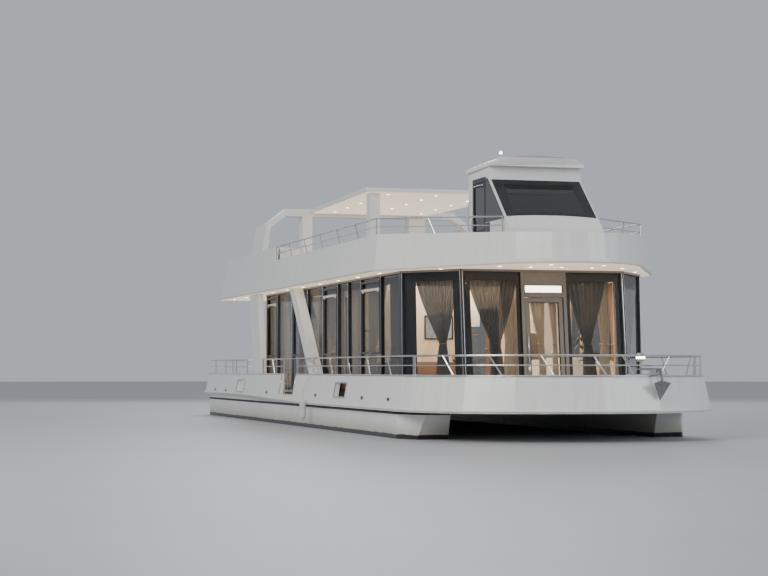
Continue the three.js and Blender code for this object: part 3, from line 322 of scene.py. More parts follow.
def pontoon_paint():
    """White above, a dark stripe round the waterline and dull dark red below, by height."""
    colour = (0.8, 0.79, 0.76)
    material, tree, shader = start_finish("pontoon_paint", colour, 0.4, Coat_Weight=0.2, Coat_Roughness=0.2)
    place = object_place(tree)
    clean = drift(tree, shader, colour, 0.07, 0.6, place)
    edge = noise(tree, place, 3.0, 6.0)
    height = add(tree, "ShaderNodeSeparateXYZ", [("Vector", place)]).outputs["Z"]
    uneven = add(tree, "ShaderNodeMath", [(0, edge), (2, height)], operation="MULTIPLY_ADD")
    uneven.inputs[1].default_value = 0.05
    level = add(tree, "ShaderNodeMapRange", [("Value", uneven.outputs[0])], From_Min=WATERLINE - 0.1,
                From_Max=WATERLINE + 0.4)
    ramp = add(tree, "ShaderNodeValToRGB", [("Fac", level.outputs[0])])
    ramp.color_ramp.elements[0].color = (*ANTIFOULING, 1)
    ramp.color_ramp.elements[1].color = (1, 1, 1, 1)
    for position, tone in ((0.14, WEED), (0.3, STRIPE), (0.42, STRIPE), (0.44, STAIN)):
        ramp.color_ramp.elements.new(position).color = (*tone, 1)
    painted = add(tree, "ShaderNodeMix", [(6, clean), (7, ramp.outputs["Color"])], data_type="RGBA",
                  blend_type="MULTIPLY")
    painted.inputs[0].default_value = 1.0
    tree.links.new(painted.outputs[2], shader.inputs["Base Color"])
    bump(tree, shader, edge, 0.3, 0.004)
    return material


PONTOON = pontoon_paint()
print("finish", PONTOON.name)

# %% [markdown]
# The other finishes follow the same recipe with other numbers. Stainless rails keep a fine brushed line, so
# their noise is stretched along the tube; bronze and galvanised iron are blotchy.

# %% Metals, plastics and rubber
BLACK = plain_finish("black_frame_paint", (0.018, 0.019, 0.022), 0.32, amount=0.3, scale=5.0, grain=220.0,
                     strength=0.2)
TAUPE = plain_finish("taupe_frame_paint", (0.2, 0.175, 0.145), 0.38, amount=0.1, scale=4.0, grain=200.0,
                     strength=0.2)
STEEL = plain_finish("polished_stainless", (0.63, 0.635, 0.64), 0.2, 1.0, amount=0.12, scale=9.0, grain=70.0,
                     depth=0.0004, stretch=(1, 8, 8))
BRONZE = plain_finish("cast_bronze", (0.42, 0.27, 0.11), 0.38, 1.0, amount=0.3, scale=16.0, grain=90.0,
                      depth=0.001)
IRON = plain_finish("galvanised_iron", (0.28, 0.285, 0.29), 0.55, 0.8, amount=0.35, scale=22.0, grain=110.0,
                    depth=0.001)
RUBBER = plain_finish("black_rubber", (0.02, 0.02, 0.021), 0.62, amount=0.25, scale=12.0, grain=240.0,
                      strength=0.4)
VINYL = plain_finish("fender_vinyl", (0.66, 0.66, 0.63), 0.36, amount=0.16, scale=9.0, grain=160.0,
                     depth=0.001, Coat_Weight=0.2)
CREAM = plain_finish("cream_panel", (0.74, 0.64, 0.48), 0.55, scale=1.6, grain=130.0, strength=0.3)
CABINET = plain_finish("cabinet_lacquer", (0.8, 0.785, 0.74), 0.28, amount=0.04, scale=3.0, grain=180.0,
                       Coat_Weight=0.3)
CEILING = plain_finish("ceiling_panel", (0.8, 0.74, 0.66), 0.5, amount=0.04, scale=1.2, grain=90.0)
# Painted glow: this ceiling finish shines warm by itself and stands for the light the spots throw on the
# hardtop panels and the soffit.
PAINTED_GLOW_CEILING = plain_finish("painted_glow_ceiling_panel", (0.84, 0.76, 0.66), 0.5, amount=0.05, scale=1.1, grain=90.0,
                           Emission_Strength=0.75, Emission_Color=(1.0, 0.8, 0.6, 1))
print("metal and plastic finishes", len(bpy.data.materials))

# %% [markdown]
# Wood shows long grain, so its noise is stretched along the plank. Non-skid decking is a grid of small
# domes, which a Voronoi distance gives without any modelling. Cloth is too fine to model thread by thread,
# so a bump from two crossed waves stands for the weave.

# %% Wood, decking and cloth


def wood(name, light, dark, scale=7.0):
    """Grain: a noise stretched ten times along X, and slightly bent, runs between two browns."""
    material, tree, shader = start_finish(name, light, 0.42, Coat_Weight=0.25, Coat_Roughness=0.25)
    grain = noise(tree, object_place(tree, (0.6, 6.0, 6.0)), scale, 8.0, Roughness=0.65, Distortion=0.6)
    ramp = add(tree, "ShaderNodeValToRGB", [("Fac", grain)])
    low, high = ramp.color_ramp.elements
    low.position, low.color = 0.35, (*dark, 1)
    high.position, high.color = 0.68, (*light, 1)
    tree.links.new(ramp.outputs["Color"], shader.inputs["Base Color"])
    bump(tree, shader, grain, 0.4, 0.001)
    return material


def non_skid(name, colour):
    """Raised dots on a 12 mm grid under worn paint: a Voronoi distance gives each dot its dome."""
    material, tree, shader = start_finish(name, colour, 0.6)
    place = object_place(tree)
    drift(tree, shader, colour, 0.12, 1.8, place, 0.6, 0.08)
    dots = add(tree, "ShaderNodeTexVoronoi", [("Vector", place)], Scale=85.0, Randomness=0.0)
    bump(tree, shader, dots.outputs["Distance"], 0.7, 0.0015)
    return material


def threads(tree, place, scale, axes, bend):
    """One slightly bent wave along each of the axes, as the threads of a weave."""
    return [add(tree, "ShaderNodeTexWave", [("Vector", place)], Scale=scale, bands_direction=axis,
                Distortion=bend).outputs["Fac"] for axis in axes]


def cloth(name, colour, pitch=0.0022, sheen=0.4, thin=0.0):
    """Woven cloth: two waves at the thread pitch, one along each thread, multiplied into a bump."""
    material, tree, shader = start_finish(name, colour, 0.85, Sheen_Weight=sheen, Sheen_Roughness=0.5,
                                          Alpha=1 - thin)
    place = add(tree, "ShaderNodeUVMap").outputs[0]
    drift(tree, shader, colour, 0.1, 3.0, place)
    links = enumerate(threads(tree, place, 1 / (pitch * 20), "XY", 0.4))
    weave = add(tree, "ShaderNodeMath", links, operation="MULTIPLY")
    bump(tree, shader, weave.outputs[0], 0.5, 0.0006)
    return material


TABLE_WOOD = wood("oiled_walnut", (0.3, 0.17, 0.085), (0.1, 0.05, 0.025))
FLOOR_WOOD = wood("pale_oak_floor", (0.47, 0.36, 0.25), (0.3, 0.21, 0.14), 5.0)
DECKING = non_skid("deck_non_skid", (0.5, 0.49, 0.46))
GREY_VOILE = cloth("grey_voile", (0.2, 0.195, 0.185), sheen=0.3, thin=0.05)
BEIGE_DRAPE = cloth("beige_drape", (0.82, 0.68, 0.5), 0.003, thin=0.05)
BROWN_DRAPE = cloth("brown_drape", (0.27, 0.17, 0.1), 0.003)
SEAT_HIDE = plain_finish("helm_seat_hide", (0.1, 0.085, 0.07), 0.5, amount=0.22, scale=14.0, grain=420.0,
                         depth=0.0008, strength=0.5)
print("cloth, wood and deck finishes", len(bpy.data.materials))

# %% [markdown]
# Window glass is mostly seen through, with a soft tint and a mirror-like skin that grows at a glancing
# angle. An alpha that a Fresnel node raises gives both, and lets the cabin's own light out. Lamps are
# surfaces that shine.

# %% Glass and lamps


def glass(name, tint, clear, edge=0.75):
    """Tinted glass: the share that hides what is behind runs from 1 - clear head on to edge at a glancing
    angle."""
    material, tree, shader = start_finish(name, tint, 0.04, Specular_IOR_Level=0.8, Coat_Weight=0.6,
                                          Coat_Roughness=0.02)
    facing = add(tree, "ShaderNodeFresnel", IOR=1.5)
    share = add(tree, "ShaderNodeMapRange", [("Value", facing.outputs[0])], From_Min=0.04, From_Max=0.8,
                To_Min=1 - clear, To_Max=edge)
    tree.links.new(share.outputs[0], shader.inputs["Alpha"])
    smears = noise(tree, object_place(tree), 2.2, 4.0)
    film = add(tree, "ShaderNodeMapRange", [("Value", smears)], To_Min=0.015, To_Max=0.07)
    tree.links.new(film.outputs[0], shader.inputs["Roughness"])
    return material


def lamp_finish(name, colour, power):
    """A shining surface with a slightly mottled diffuser."""
    material, tree, shader = start_finish(name, colour, 0.4, Emission_Strength=power)
    shader.inputs["Emission Color"].default_value = (*colour, 1)
    drift(tree, shader, colour, 0.05, 30.0, object_place(tree))
    return material


CLEAR_GLASS = glass("cabin_glass", (0.03, 0.035, 0.034), 0.9)
DARK_GLASS = glass("pilothouse_glass", (0.008, 0.009, 0.011), 0.25, 0.95)
WARM_LAMP = lamp_finish("warm_lamp", (1.0, 0.78, 0.55), 14.0)
COOL_LAMP = lamp_finish("white_lamp", (1.0, 0.93, 0.82), 5.0)
print("glass and lamp finishes", len(bpy.data.materials))

# %% [markdown]
# The rope over the bulwark holds the fender. It leaves the top rail, bends over the cap, and hangs straight
# down, so its route is the same eight points as the frame's, on one smooth curve.

# %% Fender rope
FENDER = {"x": 1.63, "y": -3.33, "foot": 1.085, "length": 0.53, "radius": 0.075, "rope": 0.009}
ROPE_ROUTE = [
    (1.63, -3.33, 1.6153), (1.63, -3.33, 1.7), (1.63, -3.29, 1.85), (1.63, -3.202, 2.02), (1.63, -3.13, 2.14),
    (1.63, -3.075, 2.25), (1.63, -3.04, 2.4), (1.63, -3.0483, 2.54),
]
ROPE_LAY = {"twist": 260.0, "lobes": 3, "lobe_depth": 0.16}


def between(t, low, high, before, after):
    """The point at t on the line that is at before when t is low and at after when t is high."""
    return ((high - t) * before + (t - low) * after) / (high - low)


def smooth_route(points, per_span=9):
    """A Catmull-Rom curve: each span mixes four neighbouring points two by two, in three rounds, with knots
    spaced by the root of their distance."""
    p = np.asarray(points, float)
    p = np.vstack([2 * p[0] - p[1], p, 2 * p[-1] - p[-2]])
    knots = np.concatenate([[0], np.cumsum(np.sqrt(np.linalg.norm(np.diff(p, axis=0), axis=1)))])
    spans = []
    for i in range(1, len(p) - 2):
        t = np.linspace(knots[i], knots[i + 1], per_span, endpoint=False)[:, None]
        k, near = knots[i - 1:i + 3], p[i - 1:i + 3]
        a = [between(t, k[j], k[j + 1], near[j], near[j + 1]) for j in range(3)]
        b = [between(t, k[j], k[j + 2], a[j], a[j + 1]) for j in range(2)]
        spans.append(between(t, k[1], k[2], *b))
    return np.vstack([*spans, p[-2:-1]])


def laid_rope():
    """Off-white rope with a fine bump of fibres."""
    colour = (0.6, 0.575, 0.5)
    material, tree, shader = start_finish("laid_rope", colour, 0.8, Sheen_Weight=0.3)
    place = add(tree, "ShaderNodeTexCoord").outputs["Object"]
    drift(tree, shader, colour, 0.25, 45.0, place)
    bump(tree, shader, noise(tree, place, 900.0, 3.0), 0.6, 0.0006)
    return material


ROPE = laid_rope()
rope_line = smooth_route(ROPE_ROUTE)[::-1]
fender_rope = as_piece("laid_fender_rope", *tube(rope_line, FENDER["rope"], 18, **ROPE_LAY), ROPE)
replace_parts(fender_rope, "fender_rope")

# %% [markdown]
# The fender is blown vinyl: a fat cylinder with domed ends, each drawn out into a thick eye. The rope ends
# in three turns round the rail.

# %% Fender and rope hitch


def fender_body():
    """The turned outline of the fender: eye, shoulder, cylinder, shoulder, eye."""
    x, y, foot, length, radius = (FENDER[k] for k in ("x", "y", "foot", "length", "radius"))
    bend = np.linspace(0, np.pi / 2, 9)
    dome = np.stack([0.028 + (radius - 0.028) * np.sin(bend), 0.03 + 0.075 * (1 - np.cos(bend))], -1)
    eye = [[0.016, 0.0], [0.024, 0.004], [0.026, 0.014], [0.026, 0.026]]
    belt = [[radius, 0.135], [radius, 0.14], [radius * 0.985, 0.145], [radius, 0.15]]
    half = np.vstack([eye, dome, belt])
    return turned(np.vstack([half, half[::-1] * (1, -1) + (0, length)]), (x, y, foot), sides=40)


def rail_hitch():
    """Three turns of a helix round the top rail, wound a rope's width apart."""
    rail_y, rail_z, rail_radius = -3.02, 2.54, 0.019
    beside_rope, pitch = 0.028, 0.0185
    turn = np.linspace(-0.5 * np.pi, 5.5 * np.pi, 90)
    reach = rail_radius + FENDER["rope"] + 0.0006
    x = FENDER["x"] - beside_rope - (turn - turn[0]) / (2 * np.pi) * pitch
    return np.stack([x, rail_y + reach * np.sin(turn), rail_z + reach * np.cos(turn)], -1)


fender = as_piece("vinyl_fender", *fender_body(), VINYL)
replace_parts(fender, "fender")
hitch = as_piece("rope_hitch", *tube(rail_hitch(), FENDER["rope"], 14, **ROPE_LAY), ROPE)
print("fender", FENDER["length"], "m long")

# %% [markdown]
# The cabin has six walls, and those at the bow lean back. A fitting on a wall is placed by how far along it
# is, how high, and how deep. The same corners as the frame's walls carry every pane, gasket, post and
# curtain track to its place.

# %% Places on the cabin walls
CABIN = {"aft": -5.4, "shoulder": 7.5, "front": 8.7, "half": 2.67, "half_front": 1.76, "wall": 0.08,
         "height": 2.66}
LEAN = {"front": 0.28, "shoulder": 0.08}
WALLS = ("port", "port_bow", "front", "starboard_bow", "starboard", "aft")
HEAD, SILL, BAR = 0.05, 0.12, 0.03


def wall_corners(front, shoulder):
    """The six corners of the glass house at one level, clockwise from port aft."""
    half, half_front, aft = CABIN["half"], CABIN["half_front"], CABIN["aft"]
    side_x, front_x = CABIN["shoulder"] + shoulder, CABIN["front"] + front
    return np.array([[aft, half], [side_x, half], [front_x, half_front], [front_x, -half_front],
                     [side_x, -half], [aft, -half]])


def grown(corners, by):
    """A convex anticlockwise polygon with every side moved outwards by the same distance. Each new corner is
    the p with n . p = offset for both of its sides."""
    corners = np.asarray(corners, float)
    along = np.roll(corners, -1, 0) - corners
    normal = np.stack([along[:, 1], -along[:, 0]], -1) / np.linalg.norm(along, axis=1, keepdims=True)
    offset = (normal * corners).sum(1) + by
    pairs = np.stack([np.roll(normal, 1, 0), normal], 1)
    return np.linalg.solve(pairs, np.stack([np.roll(offset, 1), offset], -1)[..., None])[..., 0]


FOOT_OUT, HEAD_OUT = wall_corners(LEAN["front"], LEAN["shoulder"]), wall_corners(0, 0)
FOOT_IN, HEAD_IN = (grown(corners[::-1], -CABIN["wall"])[::-1] for corners in (FOOT_OUT, HEAD_OUT))
WALL_LENGTH = np.linalg.norm(np.roll(FOOT_OUT, -1, 0) - FOOT_OUT, axis=1)


def blend(a, b, share):
    """The mix of a and b that is a at share 0 and b at share 1."""
    return a * (1 - share) + b * share


def on_wall(wall, s, t, d):
    """Points s along a wall, t above the deck and d inwards from its outer face, mixed from the wall's eight
    corners."""
    i = WALLS.index(wall)
    j = (i + 1) % 6
    s, t, d = (v[..., None] for v in np.broadcast_arrays(*(np.asarray(v, float) for v in (s, t, d))))
    along, up, deep = s / WALL_LENGTH[i], t / CABIN["height"], d / CABIN["wall"]
    foot, head = (blend(blend(outer[i], outer[j], along), blend(inner[i], inner[j], along), deep)
                  for outer, inner in ((FOOT_OUT, FOOT_IN), (HEAD_OUT, HEAD_IN)))
    return np.concatenate([blend(foot, head, up), DECK_FLOOR + t], -1)


def on_wall_block(wall, s, t, d, radius=0.004):
    """A block with rounded edges drawn flat as (s, t, d) and then carried onto the wall."""
    points, faces = rounded_block(*zip(s, t, d), radius)
    return on_wall(wall, *points.T), faces


def on_wall_ring(wall, hole, border, d, thick, corner=0.02):
    """A flat border inside a hole (s0, s1, t0, t1), with a width for each of the four sides in that order."""
    sides = (hole, corner * 0.2), (np.array(hole) + np.multiply(border, (1, -1, 1, -1)), corner)
    outer, inner = (round_outline((s1 - s0) / 2, (t1 - t0) / 2, radius) + ((s0 + s1) / 2, (t0 + t1) / 2)
                    for (s0, s1, t0, t1), radius in sides)
    s, t = np.stack([outer, inner, inner, outer], 1).transpose(2, 0, 1)
    return skinned(on_wall(wall, s, t, (d, d, d + thick, d + thick)), closed=True)


print("wall lengths", WALL_LENGTH.round(3))

# %% [markdown]
# A boatyard glues or clamps each pane into its hole: a pane of toughened glass, a rubber gasket round it,
# and behind the edge a black printed border that hides the glue. The border is wide along the top, as the
# photograph shows.

# %% Windows of the cabin
MULLIONS = (-5.4, -4.05, -2.3, -0.62, 0.95, 2.38, 3.34, 4.44, 6.07, 7.54)
GLASS_TOP = CABIN["height"] - HEAD
DOORWAY = (CABIN["half_front"] - 0.42, CABIN["half_front"] + 0.42)
TRANSOM = (2.19, 2.33)
SASHES = (0, 2, 4, 7)
GASKET, PANE = 0.012, 0.012
PRINT_FOOT, PRINT_HEAD, PRINT_HEAD_AFT = 0.05, 0.17, 0.12


def side_holes():
    """The (s0, s1) holes of the port wall from its mullions' spacing; the end holes keep wider posts."""
    start, end = np.array(MULLIONS[:-1]) + BAR, np.array(MULLIONS[1:]) - BAR
    start[0] += BAR + 0.03
    end[-1] -= BAR + 0.03
    return list(zip(start - CABIN["aft"], end - CABIN["aft"]))


def window_table():
    """Every glazed hole: wall, name, (s0, s1) along the wall, and the widths of its print at s0 and s1."""
    long, bow, front = WALL_LENGTH[4], WALL_LENGTH[1] - 0.07, 2 * CABIN["half_front"] - 0.06
    rows = []
    for i, (a, b) in enumerate(side_holes()):
        rows.append(("port", f"port_window_{i + 1}", (a, b), (0.05, 0.05)))
        rows.append(("starboard", f"starboard_window_{i + 1}", (long - b, long - a), (0.05, 0.05)))
    rows.append(("port_bow", "port_bow_window", (0.07, bow), (0.1, 0.16)))
    rows.append(("starboard_bow", "starboard_bow_window", (0.07, bow), (0.16, 0.3)))
    rows.append(("front", "front_port_window", (0.06, DOORWAY[0] - 0.075), (0.08, 0.08)))
    rows.append(("front", "front_starboard_window", (DOORWAY[1] + 0.075, front), (0.08, 0.1)))
    y = CABIN["half"]
    for k, hole in enumerate(((0.09, y - 1.16), (y - 0.04, y + 1.16), (y + 1.22, 2 * y - 0.09))):
        rows.append(("aft", f"aft_window_{k + 1}", hole, (0.05, 0.05)))
    return rows


def glaze_hole(name, wall, hole, border):
    """A pane, the gasket round it, and the print on its inner face."""
    s0, s1, t0, t1 = hole
    middle, inset = CABIN["wall"] / 2 - PANE / 2, GASKET * 0.6
    pane = on_wall_block(wall, (s0 + inset, s1 - inset), (t0 + inset, t1 - inset),
                         (middle, middle + PANE), 0.003)
    gasket = on_wall_ring(wall, hole, (GASKET,) * 4, middle - 0.006, PANE + 0.012, 0.01)
    edge = (s0 + 0.004, s1 - 0.004, t0 + 0.004, t1 - 0.004)
    printed = on_wall_ring(wall, edge, [b + GASKET for b in border], middle + PANE + 0.001, 0.002)
    as_piece(f"{name}_glass", *pane, CLEAR_GLASS, smooth=False)
    as_piece(f"{name}_gasket", *gasket, RUBBER, smooth=False)
    as_piece(f"{name}_border", *printed, BLACK, smooth=False)


WINDOWS = window_table()
for wall, name, hole, (left, right) in WINDOWS:
    top = PRINT_HEAD_AFT if wall == "aft" else PRINT_HEAD
    glaze_hole(name, wall, (*hole, SILL, GLASS_TOP), (left, right, PRINT_FOOT, top))
print(len(WINDOWS), "panes with gaskets and printed borders")

# %% [markdown]
# Four windows on each side open. Each has a sash: an aluminium frame in front of the pane, a pale bar across
# its head and a handle below. Between the panes run thin pale cover strips, which hide the joints of the
# glass.

# %% Sashes and cover strips
SASH_FRAME, SASH_FOOT, BAR_DROP = 0.045, 0.96, 0.23


def sash(wall, s0, s1):
    """A frame proud of the pane, above the fixed light."""
    inside = (s0 + 0.06, s1 - 0.06, SASH_FOOT, GLASS_TOP - 0.06)
    return on_wall_ring(wall, inside, (SASH_FRAME,) * 4, -0.004, 0.024, 0.012)


def head_bar(wall, s0, s1):
    """The pale channel that the sash hangs from, and two catches on it."""
    top = GLASS_TOP - BAR_DROP
    bar = on_wall_block(wall, (s0 + 0.07, s1 - 0.07), (top - 0.055, top), (-0.012, 0.022), 0.006)
    catches = [on_wall_block(wall, (s, s + 0.05), (top - 0.085, top - 0.055), (-0.016, 0.01), 0.005)
               for s in (s0 + 0.16, s1 - 0.21)]
    return gather(bar, *catches)


def sash_handle(wall, s0, s1):
    """A bow handle: half an ellipse on the lower frame."""
    angle = np.linspace(0, np.pi, 15)
    s, d = (s0 + s1) / 2 - 0.07 * np.cos(angle), -0.004 - 0.035 * np.sin(angle)
    return tube(on_wall(wall, s, SASH_FOOT + 0.022, d), 0.006, 10)


def cover_strips(wall, places):
    """Thin half-round strips up the outer face of a wall."""
    return gather(*[on_wall_block(wall, (s - 0.007, s + 0.007), (0.03, CABIN["height"] - 0.008),
                                  (-0.007, 0.0006), 0.003) for s in places])


side_windows = {name: hole for wall, name, hole, _ in WINDOWS if wall in ("port", "starboard")}
for side in ("port", "starboard"):
    for number in SASHES:
        hole = side_windows[f"{side}_window_{number + 1}"]
        as_piece(f"{side}_sash_{number + 1}", *sash(side, *hole), BLACK, smooth=False)
        as_piece(f"{side}_sash_bar_{number + 1}", *head_bar(side, *hole), CABINET)
        as_piece(f"{side}_sash_handle_{number + 1}", *sash_handle(side, *hole), STEEL)
joints = np.array(MULLIONS[1:-1]) - CABIN["aft"]
STRIPS = {
    "port": joints, "starboard": WALL_LENGTH[4] - joints, "port_bow": (0.03, WALL_LENGTH[1] - 0.03),
    "starboard_bow": (0.03, WALL_LENGTH[3] - 0.03),
    "front": (0.03, DOORWAY[0] - 0.045, DOORWAY[1] + 0.045, WALL_LENGTH[2] - 0.03),
}
for wall, places in STRIPS.items():
    as_piece(f"{wall}_cover_strips", *cover_strips(wall, places), STEEL)
print("sashes", 2 * len(SASHES), "strips", sum(len(v) for v in STRIPS.values()))

# %% [markdown]
# The front door stands between taupe posts. Above the leaf come a plain lintel board, a lit transom and a
# grey panel up to the soffit. The leaf has a gasketed pane, a long bar handle on each face and a lock.

# %% Front door and its surround
LEAF = {"s0": DOORWAY[0] + 0.012, "s1": DOORWAY[1] - 0.008, "t0": 0.033, "t1": 2.077, "stile": 0.085,
        "thick": 0.048}
LEAF_FACES = (CABIN["wall"] - LEAF["thick"]) / 2, (CABIN["wall"] + LEAF["thick"]) / 2
PANEL_TOP = 2.6


def door_surround():
    """Posts, lintel board and top panel: plates on the outer face of the front wall, clear of the leaf."""
    a, b = DOORWAY
    plates = [((a - 0.07, a), (0.004, PANEL_TOP)), ((b, b + 0.07), (0.004, PANEL_TOP)),
              ((a, b), (2.092, TRANSOM[0])), ((a, b), (TRANSOM[1], PANEL_TOP))]
    return gather(*[on_wall_block("front", s, t, (-0.008, 0.0), 0.003) for s, t in plates])


def long_handle(s, t0, t1, face, stand_off):
    """A straight bar on two legs; stand_off is how far it stands from the leaf's face, inwards."""
    reach = face + stand_off
    bar = tube(on_wall("front", s, (t0, t1), reach), 0.011, 14)
    legs = [tube(on_wall("front", s, t, (face, reach)), 0.007, 10) for t in (t0 + 0.06, t1 - 0.06)]
    return gather(bar, *legs)


as_piece("door_surround", *door_surround(), TAUPE, smooth=False)
stile, middle = LEAF["stile"], CABIN["wall"] / 2
s0, s1, t0, t1 = LEAF["s0"] + stile, LEAF["s1"] - stile, LEAF["t0"] + 2 * stile, LEAF["t1"] - stile
door_pane = on_wall_block("front", (s0 + 0.006, s1 - 0.006), (t0 + 0.006, t1 - 0.006),
                          (middle - 0.006, middle + 0.006), 0.003)
as_piece("front_door_glass", *door_pane, CLEAR_GLASS, "front_door", False)
door_gasket = on_wall_ring("front", (s0, s1, t0, t1), (0.014,) * 4, middle - 0.012, 0.024)
as_piece("front_door_gasket", *door_gasket, RUBBER, "front_door", False)
handle_s = LEAF["s1"] - stile / 2
handles = [long_handle(handle_s, 0.75, 1.35, face, way) for face, way in zip(LEAF_FACES, (-0.038, 0.038))]
as_piece("front_door_handles", *gather(*handles), STEEL, "front_door")
lock_d = LEAF_FACES[0] - 0.006
lock = on_wall_block("front", (handle_s - 0.025, handle_s + 0.025), (0.58, 0.68), (lock_d, LEAF_FACES[0]))
keyhole = turned([(0.011, -0.002), (0.011, 0.003), (0.007, 0.005)], on_wall("front", handle_s, 0.63, lock_d),
                 (1, 0, 0.1), 20)
as_piece("front_door_lock", *gather(lock, keyhole), STEEL, "front_door")
transom_glow = on_wall_block("front", (DOORWAY[0] + 0.024, DOORWAY[1] - 0.024),
                             (TRANSOM[0] + 0.004, TRANSOM[1] - 0.004), (0.02, 0.03), 0.003)
as_piece("transom_light", *transom_glow, COOL_LAMP, smooth=False)
print("door leaf", round(LEAF["s1"] - LEAF["s0"], 3), "x", round(LEAF["t1"] - LEAF["t0"], 3))

# %% [markdown]
# Curtains are the most seen cloth of the boat. Each hangs from a track in deep pleats, is drawn in at the
# waist by a tie, and spreads again below it. Where the hang is narrow the pleats are deeper, so that the
# cloth keeps its width as far as it can.

# %% A curtain as a function of two parameters
CURTAIN_TOP, CURTAIN_FOOT, CURTAIN_IN, SECOND_TRACK = 2.5, 0.03, 0.17, 0.13
WAIST, FULLNESS, DEEPEST_PLEAT = 1.15, 1.75, 0.052


def pleat_depth(span, cut, pleats):
    """The depth a of a sine wave of n pleats whose line is cut long over a span: about
    cut = span sqrt(1 + (2 pi n a / span)^2 / 2)."""
    ratio = np.maximum((cut / span) ** 2 - 1, 0.02)
    return np.minimum(span * np.sqrt(2 * ratio) / (2 * np.pi * pleats), DEEPEST_PLEAT)


def curtain(top, waist, foot, pleats, seed, depth):
    """Rows run down the cloth. Its left and right edges follow smooth curves through top, waist and foot,
    and each row is a wave across the span whose phase wanders with the seed."""
    rows, columns = 46, pleats * 8 + 1
    t = np.linspace(CURTAIN_TOP, CURTAIN_FOOT, rows)
    fall = np.clip((CURTAIN_TOP - t) / (CURTAIN_TOP - WAIST), 0, 1)
    rise = np.clip((WAIST - t) / (WAIST - CURTAIN_FOOT), 0, 1)
    spread = np.sin(rise * np.pi / 2) ** 0.8
    left, right = (np.where(t > WAIST, top[k] + (waist[k] - top[k]) * fall ** 1.25,
                            waist[k] + (foot[k] - waist[k]) * spread) for k in (0, 1))
    wander = np.random.default_rng(seed)
    phase, lean = wander.uniform(0, 6.28, 3), wander.uniform(0.5, 1.0, 3)
    u, down = np.linspace(0, 1, columns)[None], np.linspace(0, 1, rows)[:, None]
    shake = sum(lean[k] * np.sin((k + 2) * 2 * np.pi * u + phase[k] + 1.7 * down) for k in range(3))
    warp = u + 0.012 * shake * (4 * u * (1 - u))
    size = pleat_depth(right - left, FULLNESS * (top[1] - top[0]), pleats)[:, None]
    size = size * (0.85 + 0.15 * np.cos(5 * u + phase[0]))
    pinch = 0.12 * np.exp(-((t[:, None] - WAIST) / 0.06) ** 2)
    s = left[:, None] + (right - left)[:, None] * warp
    d = depth + size * np.sin(2 * np.pi * pleats * warp) * (1 - pinch) + 0.012 * np.sin(3 * down + phase[1])
    return s, np.broadcast_to(t[:, None], s.shape), d


def lay_cloth_map(piece, across, t):
    """A map in metres: U is the way along the cloth from its left edge, and V is the height."""
    run = np.cumsum(np.c_[np.zeros(len(across)), across], 1)
    corner = np.empty(len(piece.data.loops), int)
    piece.data.loops.foreach_get("vertex_index", corner)
    layer = piece.data.uv_layers.new(name="cloth")
    layer.data.foreach_set("uv", np.stack([run, t], -1).reshape(-1, 2)[corner].ravel())


def hang_curtain(name, wall, finish, top, waist, foot, seed, depth=CURTAIN_IN):
    pleats = max(4, round(9 * (top[1] - top[0])))
    s, t, d = curtain(top, waist, foot, pleats, seed, depth)
    points = on_wall(wall, s, t, d)
    piece = as_piece(name, points, grid_faces(*s.shape), finish)
    across = np.linalg.norm(np.diff(points, axis=1), axis=2)
    lay_cloth_map(piece, across, t)
    flat_width = float(across.sum(1).max())
    down = float(np.linalg.norm(np.diff(points, axis=0), axis=2).sum(0).mean())
    angle = np.linspace(0, 2 * np.pi, 40, endpoint=False)
    reach = (waist[1] - waist[0]) / 2 + 0.012
    loop = on_wall(wall, (waist[0] + waist[1]) / 2 + reach * np.cos(angle), WAIST + 0.012 * np.sin(angle),
                   depth + 0.062 * np.sin(angle))
    tie = as_piece(f"{name}_tie", *tube(loop, 0.011, 8, closed=True), finish)
    return flat_width, down


FRONT_CURTAINS = (
    ("grey_bow_curtain", "starboard_bow", GREY_VOILE, (0.14, 1.44), (0.54, 0.72), (0.42, 0.86)),
    ("grey_front_curtain", "front", GREY_VOILE, (2.3, 3.42), (2.72, 2.94), (2.64, 2.96)),
    ("beige_front_curtain", "front", BEIGE_DRAPE, (2.26, 2.68), (2.28, 2.6), (2.26, 2.68)),
    ("door_curtain_starboard", "front", BEIGE_DRAPE, (1.66, 2.1), (1.73, 1.85), (1.69, 1.88)),
    ("door_curtain_port", "front", BEIGE_DRAPE, (1.42, 1.63), (1.44, 1.53), (1.42, 1.58)),
    ("grey_port_front_curtain", "front", GREY_VOILE, (0.27, 1.19), (0.66, 0.82), (0.5, 0.84)),
    ("beige_port_front_curtain", "front", BEIGE_DRAPE, (0.05, 0.42), (0.15, 0.3), (0.09, 0.42)),
    ("beige_bow_curtain", "port_bow", BEIGE_DRAPE, (0.75, 1.5), (1.2, 1.42), (1.05, 1.48)),
    ("brown_bow_curtain", "port_bow", BROWN_DRAPE, (0.14, 0.7), (0.2, 0.36), (0.16, 0.5)),
)
print("curtain maker ready")

# %% [markdown]
# The side curtains are drawn back to the edges of their windows. One table tells each window's curtains, as
# shares of the pane from its fore edge, so the same numbers dress the port side too.

